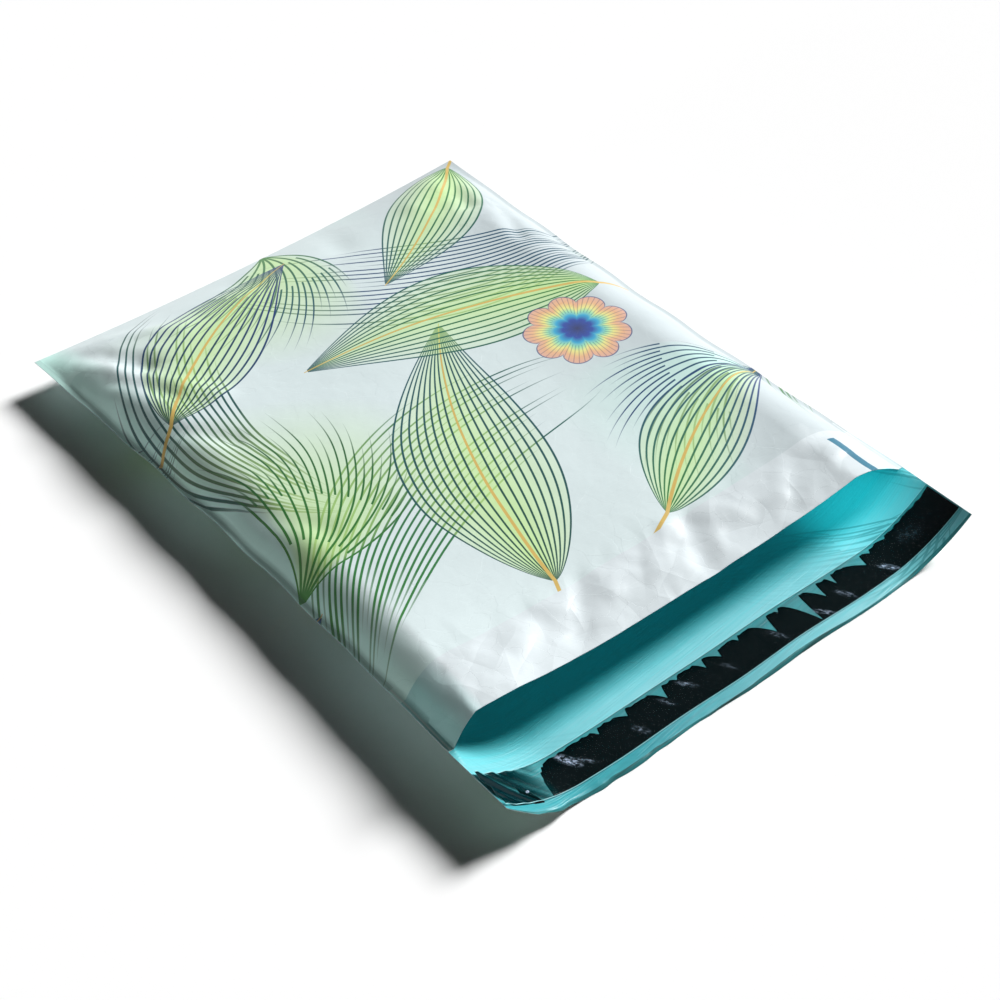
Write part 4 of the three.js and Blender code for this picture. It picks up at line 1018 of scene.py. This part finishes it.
class MAILER_OT_stage(bpy.types.Operator):
    """Set the floor, the lights, the background and the camera"""
    bl_idname = "mailer.stage"
    bl_label = "Stage"

    def execute(self, context):
        scene = context.scene
        s = scene.mailer_stage
        mesh = bpy.data.meshes.new("floor")
        side = 4.0
        mesh.from_pydata([(-side, -side, 0), (side, -side, 0), (side, side, 0), (-side, side, 0)], [], [(0, 1, 2, 3)])
        floor = bpy.data.objects.new("floor", mesh)
        scene.collection.objects.link(floor)
        material, n, shader = new_material("pale floor")
        tone = n.noise(n.add("ShaderNodeTexCoord").outputs["Object"], 2.0, 2.0)
        n.put(shader.inputs["Base Color"], n.blend(tone, tuple(c * 0.99 for c in s.floor_colour) + (1.0,), (*s.floor_colour, 1.0)))
        shader.inputs["Roughness"].default_value = 0.9
        shader.inputs["Specular IOR Level"].default_value = 0.0
        mesh.materials.append(material)

        world = bpy.data.worlds.new("studio")
        scene.world = world
        world.use_nodes = True
        n = Nodes(world.node_tree)
        background = world.node_tree.nodes["Background"]
        path = n.add("ShaderNodeLightPath").outputs
        seen = n.math("MAXIMUM", path["Is Camera Ray"], n.math("MAXIMUM", path["Is Glossy Ray"], path["Is Transmission Ray"]))
        background.inputs["Color"].default_value = (1.0, 1.0, 1.0, 1.0)
        n.put(background.inputs["Strength"], n.math("ADD", n.math("MULTIPLY", seen, 1.0 - s.fill_strength), s.fill_strength))

        add_sun(scene, "key", KEY_FROM, s.key_strength, s.key_softness)
        add_sun(scene, "low light", LOW_FROM, s.low_strength, LOW_SOFTNESS)

        for place, size, share in THROUGH_LAMPS:
            glow = bpy.data.lights.new("light through the film", "AREA")
            glow.shape = "RECTANGLE"
            glow.size, glow.size_y = size
            glow.color = (0.5, 0.95, 1.0) if share == 1 else (0.22, 0.9, 0.95)
            glow.energy = s.through_strength * share
            through = bpy.data.objects.new("light through the film", glow)
            through.location = place
            through.rotation_euler = (0.0, -0.35 if share > 1 else 0.0, 0.0)
            through.visible_camera = through.visible_glossy = False
            scene.collection.objects.link(through)

        az, el, roll = (math.radians(x) for x in (CAMERA_BEARING, CAMERA_HEIGHT, CAMERA_ROLL))
        back = np.array([math.sin(az) * math.cos(el), -math.cos(az) * math.cos(el), math.sin(el)])
        level = np.array([math.cos(az), math.sin(az), 0.0])
        raised = np.cross(back, level)
        right = math.cos(roll) * level + math.sin(roll) * raised
        up = math.cos(roll) * raised - math.sin(roll) * level
        place = np.array(CAMERA_AIM) + back * CAMERA_DISTANCE
        lens = bpy.data.cameras.new("camera")
        lens.sensor_width = 36.0
        lens.lens = CAMERA_LENS
        camera = bpy.data.objects.new("camera", lens)
        camera.matrix_world = Matrix(np.vstack([np.column_stack([right, up, back, place]), [0, 0, 0, 1]]).tolist())
        scene.collection.objects.link(camera)
        scene.camera = camera
        scene.view_settings.view_transform = "Standard"
        return {"FINISHED"}


class MAILER_PT_panel(bpy.types.Panel):
    """Panel with the parts of the bag"""
    bl_idname = "MAILER_PT_panel"
    bl_label = "Poly mailer bag"
    bl_space_type = "VIEW_3D"
    bl_region_type = "UI"
    bl_category = "Mailer"

    def draw(self, context):
        column = self.layout.column()
        for operator in OPERATORS:
            column.operator(operator.bl_idname)
        for group in (context.scene.mailer, context.scene.mailer_stage):
            for name in group.bl_rna.properties.keys():
                if name not in ("rna_type", "name"):
                    column.prop(group, name)


OPERATORS = (MAILER_OT_film, MAILER_OT_adhesive, MAILER_OT_liner, MAILER_OT_stage)
CLASSES = (MailerSettings, StageSettings, *OPERATORS, MAILER_PT_panel)


def register():
    for item in CLASSES:
        bpy.utils.register_class(item)
    bpy.types.Scene.mailer = bpy.props.PointerProperty(type=MailerSettings)
    bpy.types.Scene.mailer_stage = bpy.props.PointerProperty(type=StageSettings)


def unregister():
    del bpy.types.Scene.mailer_stage
    del bpy.types.Scene.mailer
    for item in reversed(CLASSES):
        bpy.utils.unregister_class(item)


def main():
    register()
    bpy.ops.mailer.film()
    bpy.ops.mailer.adhesive()
    bpy.ops.mailer.liner()
    bpy.ops.mailer.stage()
    bpy.context.view_layer.update()


if __name__ == "__main__":
    main()
